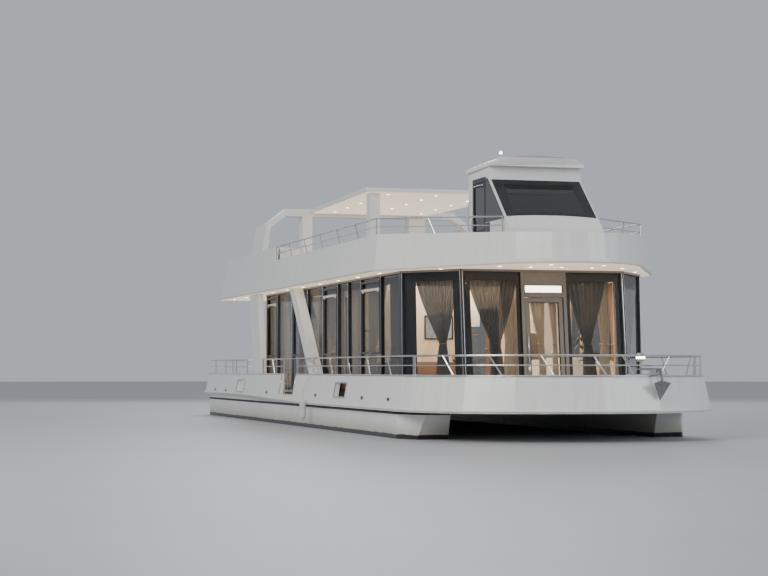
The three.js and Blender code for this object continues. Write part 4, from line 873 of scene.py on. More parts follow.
# %% Hang the curtains
SIDE_CURTAINS = (
    (9, "brown", BROWN_DRAPE, (0.24, 0.84), (0.3, 0.76), (0.24, 0.84)),
    (9, "beige", BEIGE_DRAPE, (0.1, 0.23), (0.11, 0.22), (0.09, 0.23)),
    (8, "beige", BEIGE_DRAPE, (0.08, 0.52), (0.6, 0.74), (0.52, 0.86)),
    (8, "cream", BEIGE_DRAPE, (0.54, 0.92), (0.8, 0.9), (0.87, 0.97)),
    (7, "beige", BEIGE_DRAPE, (0.34, 0.74), (0.5, 0.68), (0.42, 0.76)),
    (5, "fore", BEIGE_DRAPE, (0.06, 0.5), (0.1, 0.26), (0.08, 0.42)),
    (5, "aft", BEIGE_DRAPE, (0.52, 0.96), (0.78, 0.92), (0.62, 0.94)),
    (4, "beige", BEIGE_DRAPE, (0.05, 0.24), (0.06, 0.2), (0.05, 0.26)),
    (4, "brown", BROWN_DRAPE, (0.26, 0.44), (0.26, 0.38), (0.28, 0.44)),
    (3, "brown", BROWN_DRAPE, (0.7, 0.95), (0.78, 0.92), (0.72, 0.94)),
)


def along_window(side, number, share):
    """Turns shares of a side window, counted from its fore edge, into places along its wall."""
    s0, s1 = side_windows[f"{side}_window_{number}"]
    share = np.array(share)
    return tuple(np.sort(s0 + (s1 - s0) * (share if side == "starboard" else 1 - share)))


def curtain_tracks():
    """One track along each wall but the aft one, a bar under the ceiling at the depth of the curtains."""
    high = (CURTAIN_TOP + 0.004, CURTAIN_TOP + 0.03)
    deep = (CURTAIN_IN - 0.016, CURTAIN_IN + SECOND_TRACK + 0.016)
    return gather(*[on_wall_block(wall, (0.12, WALL_LENGTH[i] - 0.12), high, deep)
                    for i, wall in enumerate(WALLS[:-1])])


as_piece("curtain_tracks", *curtain_tracks(), STEEL)
flats = {}
for k, (name, wall, finish, *spans) in enumerate(FRONT_CURTAINS):
    depth = CURTAIN_IN + (SECOND_TRACK if name.startswith("beige") else 0)
    flats[name] = hang_curtain(name, wall, finish, *spans, k, depth)
for side in ("port", "starboard"):
    for k, (number, kind, finish, *shares) in enumerate(SIDE_CURTAINS):
        name = f"{side}_curtain_{number}_{kind}"
        spans = (along_window(side, number, share) for share in shares)
        flats[name] = hang_curtain(name, side, finish, *spans, 20 + k)
for name, (wide, long) in flats.items():
    print(name, round(wide, 2), "x", round(long, 2), "m flat")

# %% [markdown]
# Floors, ceilings and panels are plain slabs with the outline of the room. A slab is an outline at two
# heights with its two faces, so one function makes them all.

# %% Slabs and the saloon's floor and ceiling


def slab(outline, low, high):
    """A prism over an anticlockwise outline of (x, y) points, between two heights."""
    return skinned(np.stack([np.c_[outline, np.full(len(outline), level)] for level in (low, high)]))


def downlights(name, places, radius=0.045):
    """Recessed spots: a steel ring and a shining plate with a bevelled rim for each place on a ceiling."""
    down = (0, 0, -1)
    ring = [(radius * 1.3, 0), (radius * 1.3, 0.004), (radius * 1.05, 0.007)]
    plate = [(radius, 0.0072), (radius, 0.0081), (radius - 0.0006, 0.0087)]
    rings, plates = ([turned(profile, place, down, sides) for place in places]
                     for profile, sides in ((ring, 24), (plate, 20)))
    as_piece(f"{name}_rings", *gather(*rings), STEEL)
    as_piece(f"{name}_lamps", *gather(*plates), WARM_LAMP, smooth=False)


ROOM, ROOM_HEAD = (grown(corners[::-1], -CABIN["wall"] - 0.004) for corners in (FOOT_OUT, HEAD_OUT))
CEILING_FOOT = UPPER_FOOT - 0.045
as_piece("saloon_floor", *slab(ROOM, DECK_FLOOR + 0.0004, DECK_FLOOR + 0.007), FLOOR_WOOD, smooth=False)
as_piece("saloon_ceiling", *slab(ROOM_HEAD, CEILING_FOOT, UPPER_FOOT - 0.0006), CEILING, smooth=False)
spots = [(x, y, CEILING_FOOT) for x in np.arange(-4.4, 8.0, 1.5) for y in (-1.7, 0.0, 1.7)]
downlights("saloon", spots)
print("saloon spots", len(spots))

# %% [markdown]
# Windows and rims outside the cabin lie on other planes: the pilothouse's leaning front, its sides, the
# flared hull. A plane is an origin and two directions u and v; a plate or a ring drawn flat as (a, b) goes
# to origin + a u + b v + h n.

# %% Plates and rings on any plane


def plane(origin, u, v):
    """A plane by its origin and two directions that stand square to each other; u x v points outwards."""
    u, v = (np.asarray(w, float) / np.linalg.norm(w) for w in (u, v))
    return np.asarray(origin, float), u, v, np.cross(u, v)


def on_plane(where, flat, height):
    """Carries flat (a, b) points to the plane, height above it."""
    origin, u, v, n = where
    flat = np.asarray(flat, float)
    return origin + flat[:, :1] * u + flat[:, 1:] * v + height * n


def plate_on(where, outline, low, high):
    """A prism on a plane between two heights, over an anticlockwise outline."""
    return skinned(np.stack([on_plane(where, outline, level) for level in (low, high)]))


def ring_on(where, outer, inner, low, high):
    """A ring on a plane between two heights, whose two outlines have equally many points."""
    loops = [on_plane(where, outline, level)
             for outline, level in ((outer, low), (inner, low), (inner, high), (outer, high))]
    return skinned(np.stack(loops, 1), closed=True)


def quadratic(a, corner, b, t):
    """A curve from a to b that bends at the corner: (1 - t)^2 a + 2 t (1 - t) c + t^2 b."""
    return (1 - t) ** 2 * a + 2 * t * (1 - t) * corner + t ** 2 * b


def soft_outline(corners, radius, steps=4):
    """A polygon whose corners are rounded by quadratic curves, from radius before each to radius after it."""
    corners = np.asarray(corners, float)
    t = np.linspace(0, 1, steps + 1)[:, None]
    out = []
    for before, corner, after in zip(np.roll(corners, 1, 0), corners, np.roll(corners, -1, 0)):
        a, b = (corner + (end - corner) / np.linalg.norm(end - corner) * radius for end in (before, after))
        out.append(quadratic(a, corner, b, t))
    return np.concatenate(out)


def rectangle(low_a, high_a, low_b, high_b):
    """The four corners of a rectangle, anticlockwise."""
    return [(low_a, low_b), (high_a, low_b), (high_a, high_b), (low_a, high_b)]


print("plane helpers are ready")

# %% [markdown]
# The pilothouse glass is bonded to the outside of the shell. The front pane has a wide black print whose
# lower edge arches over the nose, as in the photograph, and a clear trapezoid in its middle.

# %% Pilothouse windows
HOUSE = {"aft": 6.95, "nose": (9.5, 5.09), "brow": (8.29, 6.17), "half": 1.0, "sill": 5.33}


def house_front(z):
    """Where the leaning front stands at a height: the straight line from the nose to the brow."""
    (nose_x, nose_z), (brow_x, brow_z) = HOUSE["nose"], HOUSE["brow"]
    return nose_x + (brow_x - nose_x) * (z - nose_z) / (brow_z - nose_z)


SHIELD = plane((house_front(HOUSE["sill"]), 0, HOUSE["sill"]), (0, 1, 0),
               (HOUSE["brow"][0] - HOUSE["nose"][0], 0, HOUSE["brow"][1] - HOUSE["nose"][1]))
STARBOARD_SIDE = plane((0, -HOUSE["half"], 0), (1, 0, 0), (0, 0, 1))
PORT_SIDE = plane((0, HOUSE["half"], 0), (-1, 0, 0), (0, 0, 1))
HOUSE_AFT = plane((HOUSE["aft"], 0, 0), (0, -1, 0), (0, 0, 1))
PANE_BACK, PANE_FRONT = 0.0005, 0.0075


def shield_print():
    """The black print of the front pane: its lower outer edge rises towards the middle by a parabola."""
    across = np.linspace(-1, 1, 25)
    low = np.stack([0.965 * across, 0.012 + 0.06 * (1 - across ** 2)], -1)
    high = np.stack([0.965 * across[::-1], np.full(25, 1.252)], -1)
    inner_low = np.stack([0.78 * across, 0.13 + 0.03 * (1 - across ** 2)], -1)
    inner_high = np.stack([0.74 * across[::-1], np.full(25, 1.08)], -1)
    return np.concatenate([low, high]), np.concatenate([inner_low, inner_high])


def glaze(name, where, corners, body=HULL):
    """A dark pane bonded over a hole, with a rubber bead round it."""
    edge, bead = soft_outline(grown(corners, 0.035), 0.03), soft_outline(grown(corners, 0.043), 0.032)
    as_piece(f"{name}_glass", *plate_on(where, edge, PANE_BACK, PANE_FRONT), DARK_GLASS, body, smooth=False)
    as_piece(f"{name}_bead", *ring_on(where, bead, edge, 0.0004, 0.009), RUBBER, body, smooth=False)


outer, inner = shield_print()
as_piece("windshield_glass", *plate_on(SHIELD, outer, PANE_BACK, PANE_FRONT), DARK_GLASS, smooth=False)
windshield_print = ring_on(SHIELD, outer, inner, PANE_FRONT + 0.0004, PANE_FRONT + 0.002)
as_piece("windshield_print", *windshield_print, BLACK, smooth=False)
quarter = [(8.12, 5.345), (9.075, 5.345), (8.155, 6.165), (8.12, 6.165)]
glaze("starboard_quarter", STARBOARD_SIDE, quarter)
glaze("port_quarter", PORT_SIDE, [(-x, z) for x, z in quarter[::-1]])
glaze("port_side_window", PORT_SIDE, rectangle(-8.05, -7.2, 5.38, 6.11))
glaze("house_aft_window", HOUSE_AFT, rectangle(-0.91, 0.91, 5.14, 6.115))
jamb = soft_outline(rectangle(8.088, 8.31, 4.47, 5.29), 0.02)
as_piece("house_door_jamb", *plate_on(STARBOARD_SIDE, jamb, PANE_BACK, PANE_FRONT), BLACK, smooth=False)
print("pilothouse panes", 5)

# %% [markdown]
# The pilothouse door carries its pane, a gasket and two bow handles, which ride on the door. A bow handle
# could be a curve with a bevel, but a path worked out as a superellipse can pass through the same tube
# function as every rail. The mast light on the roof is two turned profiles.

# %% Pilothouse door, grab bars and mast light
DOOR_Y = -0.9935
DOOR_FACE = plane((0, DOOR_Y, 0), (1, 0, 0), (0, 0, 1))
DOOR_PANE = rectangle(7.278, 7.968, 5.15, 6.16)
MAST_FOOT, MAST_LAMP = (8.0, -0.65, 6.614), (8.0, -0.65, 6.7242)


def bow_handle(a, b, rise=0.05, radius=0.011, out=(0, -1, 0)):
    """A grab bar between two points: a straight run on two quarter bends, raised by a superellipse."""
    a, b, out = (np.asarray(w, float) for w in (a, b, out))
    turn = np.linspace(0, np.pi, 25)
    along = 0.5 - 0.5 * np.sign(np.cos(turn)) * np.abs(np.cos(turn)) ** 0.35
    lift = np.abs(np.sin(turn)) ** 0.35
    return tube(a + (b - a) * along[:, None] + out * (rise * lift)[:, None], radius)


door_glass = plate_on(DOOR_FACE, soft_outline(grown(DOOR_PANE, -0.004), 0.03), -0.026, -0.016)
door_gasket = ring_on(DOOR_FACE, soft_outline(DOOR_PANE, 0.03), soft_outline(grown(DOOR_PANE, -0.016), 0.026),
                      -0.04, 0.002)
door_handles = gather(bow_handle((7.24, DOOR_Y, 5.2), (7.24, DOOR_Y, 5.42), 0.035, 0.008),
                      bow_handle((7.36, DOOR_Y, 6.09), (7.9, DOOR_Y, 6.09), 0.045, 0.012))
as_piece("house_door_glass", *door_glass, DARK_GLASS, "pilothouse_door", False)
as_piece("house_door_gasket", *door_gasket, RUBBER, "pilothouse_door", False)
as_piece("house_door_handle", *door_handles, STEEL, "pilothouse_door")
as_piece("house_grab_bar", *bow_handle((7.06, -1.0, 5.2), (7.06, -1.0, 5.8), 0.045), STEEL)
mast = [(0.05, 0), (0.05, 0.01), (0.016, 0.02), (0.012, 0.1), (0.02, 0.11)]
mast_lamp = [(0.02, 0), (0.032, 0.012), (0.034, 0.045), (0.02, 0.068)]
as_piece("roof_mast", *turned(mast, MAST_FOOT, sides=16), STEEL)
as_piece("roof_mast_lamp", *turned(mast_lamp, MAST_LAMP), COOL_LAMP)
print("pilothouse door, grab bars and mast light")

# %% [markdown]
# Under the hardtop the ceiling is a row of transverse panels, wide and slightly stepped, with three rows of
# spots between them. The upper deck's foot carries a chamfered lip, and its soffit has spots over the side
# decks.

# %% Hardtop ceiling, soffit and lip
HARDTOP = {"aft": -4.39, "front": 1.95, "half_aft": 1.68, "half_front": 1.88, "foot": 6.49}
PANEL, PANEL_DEEP, CLEAR, EDGE = 0.91, 0.016, 0.035, 0.06
SOFFIT = UPPER_FOOT - 0.006


def hardtop_half(x):
    """The hardtop's half width at x, less a clear edge: a straight line between its two ends."""
    ends, halves = (HARDTOP["aft"], HARDTOP["front"]), (HARDTOP["half_aft"], HARDTOP["half_front"])
    return np.interp(x, ends, halves) - EDGE


def hardtop_ceiling():
    """Panels across the hardtop, with a gap between them so that a shadow line runs there."""
    parts = []
    for x in np.arange(HARDTOP["aft"] + EDGE, HARDTOP["front"] - PANEL / 2, PANEL + CLEAR):
        end = min(x + PANEL, HARDTOP["front"] - EDGE)
        near, far = hardtop_half(x), hardtop_half(end)
        panel = soft_outline([(x, -near), (end, -far), (end, far), (x, near)], 0.02, 2)
        parts.append(slab(panel, HARDTOP["foot"] - PANEL_DEEP, HARDTOP["foot"] - 0.0005))
    return gather(*parts)


def upper_outline():
    """The upper deck's foot, anticlockwise: straight sides, a fold, and a curve to the tip on each side."""
    t = np.linspace(0, 1, 9)[:, None]
    curve = quadratic(np.array([10.2, -1.5]), np.array([11.18, -0.93]), np.array([11.18, 0.0]), t)
    starboard = np.concatenate([[(-9.86, -3.12), (7.1, -3.12)], curve])
    return np.concatenate([starboard, starboard[::-1][1:] * (1, -1)])


def lip_along(outline, level):
    """A chamfered moulding: a five-cornered section swept along an open outline of the deck."""
    along = tangents(np.c_[outline, np.zeros(len(outline))])
    out = np.stack([along[:, 1], -along[:, 0], np.zeros(len(outline))], -1)
    section = [(-0.006, -0.002), (0.006, -0.002), (0.026, 0.028), (0.022, 0.07), (-0.012, 0.09)]
    rings = [np.c_[outline, np.full(len(outline), level + rise)] + out * reach for reach, rise in section]
    return skinned(np.stack(rings, 1), flipped=True)


def under(places, level):
    """Places on a soffit at one level."""
    return [(x, y, level) for x, y in places]


# The hardtop panels and the soffit carry a painted glow that stands for the light of their spots.
as_piece("hardtop_ceiling", *hardtop_ceiling(), PAINTED_GLOW_CEILING, smooth=False)
hardtop_spots = [(x, y) for x in (-3.6, -2.3, -1.0, 0.3, 1.5) for y in (-1.2, 0.0, 1.2)]
downlights("hardtop", under(hardtop_spots, HARDTOP["foot"] - PANEL_DEEP), 0.04)
as_piece("upper_deck_lip", *lip_along(upper_outline(), UPPER_FOOT), WHITE, smooth=False)
soffit = slab(grown(upper_outline(), -0.03), SOFFIT, UPPER_FOOT - 0.0004)
as_piece("upper_deck_soffit", *soffit, PAINTED_GLOW_CEILING, smooth=False)
side_spots = [(x, side * 2.86) for x in np.arange(-8.9, 6.6, 1.72) for side in (-1, 1)]
bow_spots = [(9.75, y) for y in (-1.3, -0.65, 0.0, 0.65, 1.3)]
bow_spots += [(8.5, -2.12), (8.5, 2.12), (10.6, -0.55), (10.6, 0.55)]
cockpit_spots = [(x, y) for x in (-8.9, -7.6, -6.4) for y in (-1.5, 0.0)]
downlights("soffit", under(side_spots + bow_spots, SOFFIT - 0.0002), 0.042)
downlights("cockpit", under(cockpit_spots, SOFFIT - 0.0002), 0.042)
header = [on_wall_block(wall, (0.012, WALL_LENGTH[i] - 0.012), (2.605, 2.652), (-0.014, -0.0006), 0.003)
          for i, wall in enumerate(WALLS)]
as_piece("cabin_header", *gather(*header), TAUPE, smooth=False)
print("soffit spots", len(side_spots) + len(bow_spots) + len(cockpit_spots))

# %% [markdown]
# The hull band is welded plate. A rub rail runs along its foot, a half-round along its top edge, and every
# opening has a rim. All of them follow the deck's outline, whose bow is a superellipse: |x|^a + |y|^b keeps
# the curve full.

# %% Hull trim
DECK = {"half_length": 11.97, "stern": 11.989, "half": 3.2, "shoulder": 9.15, "full": 0.93, "foot": 1.45,
        "flare": 0.13}
GATEWAY = (-1.65, -0.15)
BAND_MIDDLE, STERN_ROUND = 1.82, 0.26
MOORING_PLACES, MOORING_HALF = (-6.58, 4.38), (0.475, 0.1525)
SCUPPER_PLACES, SCUPPER_HALF, SCUPPER_LEVELS = (-10.2, -8.6, -3.1, 2.2, 6.3, 8.3), 0.08, (-0.17, -0.12)


def flare_at(z):
    """How far the flared side stands in from its foot at a height."""
    return DECK["flare"] * (z - DECK["foot"]) / (BULWARK_TOP - DECK["foot"])


def drawn_in(line, inset):
    """The deck's outline scaled so that its widest places move in by inset."""
    return line * (1 - inset / DECK["half_length"], 1 - inset / DECK["half"])


def deck_outline(inset, spacing=0.6):
    """The deck's outline from the starboard quarter round the bow to the port quarter."""
    side_x = np.arange(-DECK["stern"] + STERN_ROUND, DECK["shoulder"], spacing)
    turn = np.linspace(-np.pi / 2, np.pi / 2, 41)
    bow_x = DECK["shoulder"] + (DECK["half_length"] - DECK["shoulder"]) * np.cos(turn) ** DECK["full"]
    bow_y = DECK["half"] * np.sign(turn) * np.abs(np.sin(turn)) ** DECK["full"]
    starboard = np.stack([side_x, np.full(len(side_x), -DECK["half"])], -1)
    bow = np.stack([bow_x, bow_y], -1)
    return drawn_in(np.concatenate([starboard, bow, starboard[::-1] * (1, -1)]), inset)


def stern_corner(inset, steps=5):
    """From the port quarter across the stern to the starboard quarter, with two rounded corners."""
    aft, half = -DECK["stern"], DECK["half"]
    a, b, c = np.array([(aft + STERN_ROUND, half), (aft, half), (aft, half - STERN_ROUND)])
    port = quadratic(a, b, c, np.linspace(0, 1, steps)[1:, None])
    return drawn_in(np.concatenate([port, port[::-1] * (1, -1)])[:-1], inset)


def foot_level(x):
    """The band's foot rises from amidships to the stern."""
    return np.interp(x, (-6.0, 1.0), (1.5547, 1.45))


def rub_rail():
    """A closed moulding round the band's foot."""
    line = np.concatenate([deck_outline(0.0), stern_corner(0.0)])
    return tube(np.c_[line, foot_level(line[:, 0]) + 0.045], 0.027, 10, closed=True)


def top_moulding():
    """A half-round along the band's top edge, open at the gate."""
    level = BULWARK_TOP - 0.02
    inset = flare_at(level)
    line = np.concatenate([deck_outline(inset, 0.3), stern_corner(inset)])
    gate = (line[:, 1] < -2.9) & (line[:, 0] > GATEWAY[0] - 0.02) & (line[:, 0] < GATEWAY[1] + 0.02)
    start = np.flatnonzero(gate)[-1] + 1
    line = np.roll(line, -start, 0)[:len(line) - gate.sum()]
    ends = np.array([[GATEWAY[1] + 0.012, line[0, 1]], [GATEWAY[0] - 0.012, line[-1, 1]]])
    line = np.concatenate([ends[:1], line, ends[1:]])
    return tube(np.c_[line, np.full(len(line), level)], 0.016, 10)


def hull_plane(side):
    """The flared side as a plane that leans in towards its top."""
    lean = DECK["flare"] / (BULWARK_TOP - DECK["foot"])
    place = (0, side * (DECK["half"] - flare_at(BAND_MIDDLE)), BAND_MIDDLE)
    return plane(place, (-side, 0, 0), (0, -side * lean, 1))


def scupper(side, x):
    """A low drain hole in the hull's plane."""
    return rectangle(-side * x - SCUPPER_HALF, -side * x + SCUPPER_HALF, *SCUPPER_LEVELS)


def side_rims(side):
    """Rims of the two mooring openings and the scuppers, in the hull's plane."""
    where, parts = hull_plane(side), []
    half, up = MOORING_HALF
    for x in MOORING_PLACES:
        hole = rectangle(-side * x - half, -side * x + half, -up, up)
        outer, inner = soft_outline(grown(hole, 0.03), 0.05), soft_outline(hole, 0.012)
        parts.append(ring_on(where, outer, inner, 0.0004, 0.014))
    for x in SCUPPER_PLACES:
        hole = scupper(side, x)
        outer, inner = soft_outline(grown(hole, 0.014), 0.03), soft_outline(hole, 0.02)
        parts.append(ring_on(where, outer, inner, 0.0004, 0.01))
    return gather(*parts)


def scupper_shade_plates(side):
    """Black plates behind the scupper rims: painted shade that stands for the dark drain holes."""
    where = hull_plane(side)
    return gather(*[plate_on(where, soft_outline(scupper(side, x), 0.02), 0.0003, 0.003)
                    for x in SCUPPER_PLACES])


def gate_jambs():
    """Steel edges up both sides of the gateway, leaning as the hull does."""
    z = np.array([DECK_FLOOR + 0.01, BULWARK_TOP])
    y = -(DECK["half"] - flare_at(z)) - 0.002
    return gather(*[tube(np.stack([np.full(2, x), y, z], -1), 0.014, 10)
                    for x in (GATEWAY[0] - 0.012, GATEWAY[1] + 0.012)])


as_piece("rub_rail", *rub_rail(), WHITE)
as_piece("band_top_moulding", *top_moulding(), STEEL)
as_piece("gate_jambs", *gate_jambs(), STEEL)
# Painted shade: a black rubber tube under the band's knuckle stands for the shadow in the recess between the
# band and the pontoons.
RECESS_SHADE_PATH = [(-11.42, 3.082), (8.3, 3.082), (8.62, 3.08), (9.08, 2.91), (9.385, 2.71), (9.385, 2.22)]
for side_name, side in (("port", 1), ("starboard", -1)):
    as_piece(f"{side_name}_hull_rims", *side_rims(side), STEEL, smooth=False)
    # The black plates at the scuppers are painted shade for the dark holes.
    as_piece(f"{side_name}_scuppers", *scupper_shade_plates(side), RUBBER, smooth=False)
    as_piece(f"{side_name}_recess_shade_strip", *tube([(x, side * y, 1.412) for x, y in RECESS_SHADE_PATH], 0.027, 8), RUBBER)
print("hull trim done")

# %% [markdown]
# Cushions are blown up as cloth. Each starts as a rounded block, thinner than its place and a little wider,
# gets an even mesh, and swells under pressure without gravity. A cap holds back how far a point moves.
# Piping is laid on the finished skin.

# %% Simulated cushions
SIDE_OUTSET, CROWN_SHARE = 0.005, 0.1


def upholstery(name, colour, pitch=0.005):
    """Woven cover on Object coordinates: a fine wave along each axis, added up, so that every face shows
    two."""
    material, tree, shader = start_finish(name, colour, 0.88, Sheen_Weight=0.5, Sheen_Roughness=0.5)
    place = object_place(tree)
    drift(tree, shader, colour, 0.14, 5.0, place)
    x, y, z = threads(tree, place, 0.314 / pitch, "XYZ", 0.3)
    pair = add(tree, "ShaderNodeMath", [(0, x), (1, y)])
    weave = add(tree, "ShaderNodeMath", [(0, pair.outputs[0]), (1, z)])
    bump(tree, shader, weave.outputs[0], 0.4, 0.0008)
    return material


def skin(mesh, points=None):
    """Reads a mesh's corner points as an (n, 3) array, or writes them first."""
    if points is not None:
        mesh.vertices.foreach_set("co", np.asarray(points, np.float32).ravel())
        mesh.update()
    flat = np.empty(len(mesh.vertices) * 3, np.float32)
    mesh.vertices.foreach_get("co", flat)
    return flat.reshape(-1, 3).astype(float)


def bake(piece):
    """Puts the evaluated shape in the mesh and takes the modifiers off."""
    graph = bpy.context.evaluated_depsgraph_get()
    mesh = bpy.data.meshes.new_from_object(piece.evaluated_get(graph))
    piece.modifiers.clear()
    piece.data = mesh


def blow_up(piece, cap, pressure=4.0, frames=20):
    """Swells a piece as cloth under pressure. The way of each point is eased by cap tanh(way / cap)."""
    start = skin(piece.data)
    settings = piece.modifiers.new("pressure", "CLOTH").settings
    settings.use_pressure = True
    settings.uniform_pressure_force = pressure
    settings.effector_weights.gravity = 0.0
    for step in range(1, frames + 1):
        bpy.context.scene.frame_set(step)
    bake(piece)
    way = skin(piece.data) - start
    reach = np.maximum(np.linalg.norm(way, axis=1, keepdims=True), 1e-9)
    skin(piece.data, start + way * cap * np.tanh(reach / cap) / reach)
    bpy.context.scene.frame_set(1)


def finish_pad(piece):
    """One subdivision of the piece."""
    smooth = piece.modifiers.new("smooth", "SUBSURF")
    smooth.levels = smooth.render_levels = 1


def cushion(name, low, high, finish, axis, voxel=0.025, cap=0.04):
    """One padded piece in the box from low to high, flat at its low side along the axis. It starts thinner
    than its place that way, since it swells most there, and a little wider, since swelling draws its sides
    in."""
    low, high = np.array(low, float), np.array(high, float)
    inset = np.full(3, -SIDE_OUTSET)
    inset[axis] = CROWN_SHARE * (high - low)[axis]
    piece = as_piece(name, *rounded_block(low + inset, high - inset, 0.03, edge_steps=4), finish)
    remesh = piece.modifiers.new("even_faces", "REMESH")
    remesh.mode, remesh.voxel_size, remesh.use_smooth_shade = "VOXEL", voxel, True
    bake(piece)
    blow_up(piece, cap)
    points = skin(piece.data)
    points[:, axis] = np.maximum(points[:, axis], low[axis])
    skin(piece.data, points)
    finish_pad(piece)
    return piece


def twin(model, name, centre_x, side, stretch):
    """A copy of a cushion about another centre, stretched along X and turned half round for the port side."""
    mesh = model.data.copy()
    points = skin(mesh)
    middle = (points[:, 0].min() + points[:, 0].max()) / 2
    moved = (points - (middle, 0, 0)) * (stretch, 1, 1) * (-side, -side, 1)
    skin(mesh, moved + (centre_x, 0, 0))
    piece = bpy.data.objects.new(name, mesh)
    bpy.context.scene.collection.objects.link(piece)
    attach(piece, HULL)
    finish_pad(piece)
    return piece


def piping(piece, up, level, radius=0.005, samples=96):
    """A cord round a cushion at a share of its height: each point of an ellipse-like loop moves to the
    nearest skin."""
    points = skin(piece.data)
    low, high = points.min(0), points.max(0)
    half, middle = (high - low) / 2, (high + low) / 2
    turn = np.linspace(0, 2 * np.pi, samples, endpoint=False)
    loop = np.empty((samples, 3))
    loop[:, up] = low[up] + level * (high - low)[up]
    for axis, wave in (((up + 1) % 3, np.cos(turn)), ((up + 2) % 3, np.sin(turn))):
        loop[:, axis] = middle[axis] + half[axis] * np.sign(wave) * np.abs(wave) ** 0.28
    near = points[np.argmin(((loop[:, None] - points[None]) ** 2).sum(-1), 1)]
    for _ in range(3):
        near = (np.roll(near, 1, 0) + 2 * near + np.roll(near, -1, 0)) / 4
    return tube(near, radius, 8, closed=True)


SEAT_COVER = upholstery("sofa_cover", (0.44, 0.36, 0.27))
PIPE_COVER = upholstery("piping_cover", (0.2, 0.155, 0.11), 0.003)
print("cushion maker ready")

# %% [markdown]
# The sofas stand on pale plinths. Their seat and back cushions take the room of the plain solids in the
# frame, which they replace. One seat and one back are simulated, and the others are copies, stretched by
# 2 % at most.

# %% Sofas and the helm seat
SOFAS = {"starboard_sofa": (4.3, 6.9, 3, -1), "port_sofa": (5.6, 7.3, 2, 1)}
SEAT_WIDE, SEAT_FOOT, SEAT_TOP = 2.6 / 3, 1.865, 2.068
HALF_SEAT = SEAT_WIDE / 2 - 0.004
seat_low, seat_high = (-HALF_SEAT, -2.3, SEAT_FOOT), (HALF_SEAT, -1.684, SEAT_TOP)
back_low, back_high = (-HALF_SEAT, -2.476, 2.06), (HALF_SEAT, -2.305, 2.466)
SEAT_MODELS = {"seat": cushion("seat_model", seat_low, seat_high, SEAT_COVER, 2),
               "back": cushion("back_model", back_low, back_high, SEAT_COVER, 1)}


def sofa_frame(aft, fore, side):
    """A low plinth, and a padded board on it that the seats rest on."""
    low_y, high_y = (-2.478, -1.69) if side < 0 else (1.73, 2.478)
    plinth = (aft + 0.05, low_y + 0.05, DECK_FLOOR + 0.0075), (fore - 0.05, high_y - 0.05, 1.72)
    board = (aft + 0.003, low_y + 0.003, 1.722), (fore - 0.003, high_y - 0.003, SEAT_FOOT)
    return rounded_block(*plinth, 0.006), rounded_block(*board, 0.015)


def pad_piping(part, pad, side):
    """Two cords round a seat, near its top and its foot, or one round the front of a back."""
    if part == "seat":
        return gather(piping(pad, 2, 0.86), piping(pad, 2, 0.16))
    return piping(pad, 1, 0.14 if side > 0 else 0.86)


def sofa_cushions(name, aft, count, side, wide):
    """Seats and backs side by side with a gap, as copies of the two models."""
    for k in range(count):
        for part, model in SEAT_MODELS.items():
            pad = twin(model, f"{name}_{part}_{k}", aft + wide * (k + 0.5), side, wide / SEAT_WIDE)
            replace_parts(pad, name)
            as_piece(f"{name}_{part}_{k}_piping", *pad_piping(part, pad, side), PIPE_COVER)


for name, (aft, fore, count, side) in SOFAS.items():
    plinth, board = sofa_frame(aft, fore, side)
    as_piece(f"{name}_plinth", *plinth, CABINET)
    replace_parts(as_piece(f"{name}_board", *board, SEAT_COVER), name)
    sofa_cushions(name, aft, count, side, (fore - aft) / count)
for model in SEAT_MODELS.values():
    bpy.data.objects.remove(model)
helm_cushion = cushion("helm_seat_cushion", (7.415, 0.095, 4.888), (7.938, 0.605, 5.01), SEAT_HIDE, 2,
                       voxel=0.014, cap=0.026)
helm_back = cushion("helm_seat_back", (7.43, 0.1, 5.0), (7.512, 0.6, 5.538), SEAT_HIDE, 0, voxel=0.014,
                    cap=0.02)
helm_cords = gather(piping(helm_cushion, 2, 0.82, 0.004), piping(helm_back, 0, 0.8, 0.004))
as_piece("helm_seat_piping", *helm_cords, BLACK)
pedestal = turned([(0.16, 0), (0.16, 0.012), (0.05, 0.03), (0.038, 0.06), (0.038, 0.43), (0.09, 0.452)],
                  (7.67, 0.35, UPPER_FLOOR + 0.0235))
shell = gather(rounded_block((7.43, 0.11, 4.872), (7.92, 0.59, 4.887), 0.006),
               rounded_block((7.412, 0.12, 4.9), (7.4295, 0.58, 5.5), 0.006))
for piece in (helm_cushion, helm_back, as_piece("helm_seat_pedestal", *pedestal, STEEL),
              as_piece("helm_seat_shell", *shell, BLACK)):
    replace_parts(piece, "helm_seat")
print("sofa cushions", 2 * sum(count for _, _, count, _ in SOFAS.values()))

# %% [markdown]
# The galley stands to port behind the front windows: white fronts with a shadow gap, a stone top, a hob and
# a basin. The cross wall beside it carries a cabinet, a shelf, a low unit and a picture, which is a plain
# wash of colour here.

# %% Galley and cross wall
GALLEY_FACE = plane((0, 1.9, 0), (1, 0, 0), (0, 0, 1))
WALL_FACE = plane((2.96, 0, 0), (0, 1, 0), (0, 0, 1))
WORKTOP = 2.584
TALL_UNIT, COLUMNS = (2.966, 3.66), ((3.668, 4.1), (4.1, 4.53), (4.53, 4.96))
STONE = plain_finish("dark_stone", (0.06, 0.058, 0.055), 0.25, amount=0.5, scale=30.0, grain=160.0)
PICTURE = plain_finish("picture_wash", (0.3, 0.42, 0.5), 0.7, amount=0.75, scale=2.4, grain=90.0)
LEAF_GREEN = plain_finish("palm_leaf", (0.045, 0.11, 0.03), 0.45, amount=0.4, scale=6.0, grain=60.0)
CLAY = plain_finish("clay_pot", (0.32, 0.2, 0.13), 0.7, amount=0.2, scale=8.0, grain=150.0)


def fronts(rows, thick=0.018, gap=0.002):
    """Cabinet fronts on the galley's face, each a plate with soft corners: rows of (a0, a1, b0, b1)."""
    outlines = [soft_outline(rectangle(a0 + gap, a1 - gap, b0 + gap, b1 - gap), 0.003, 2)
                for a0, a1, b0, b1 in rows]
    return gather(*[plate_on(GALLEY_FACE, outline, 0.0005, thick) for outline in outlines])


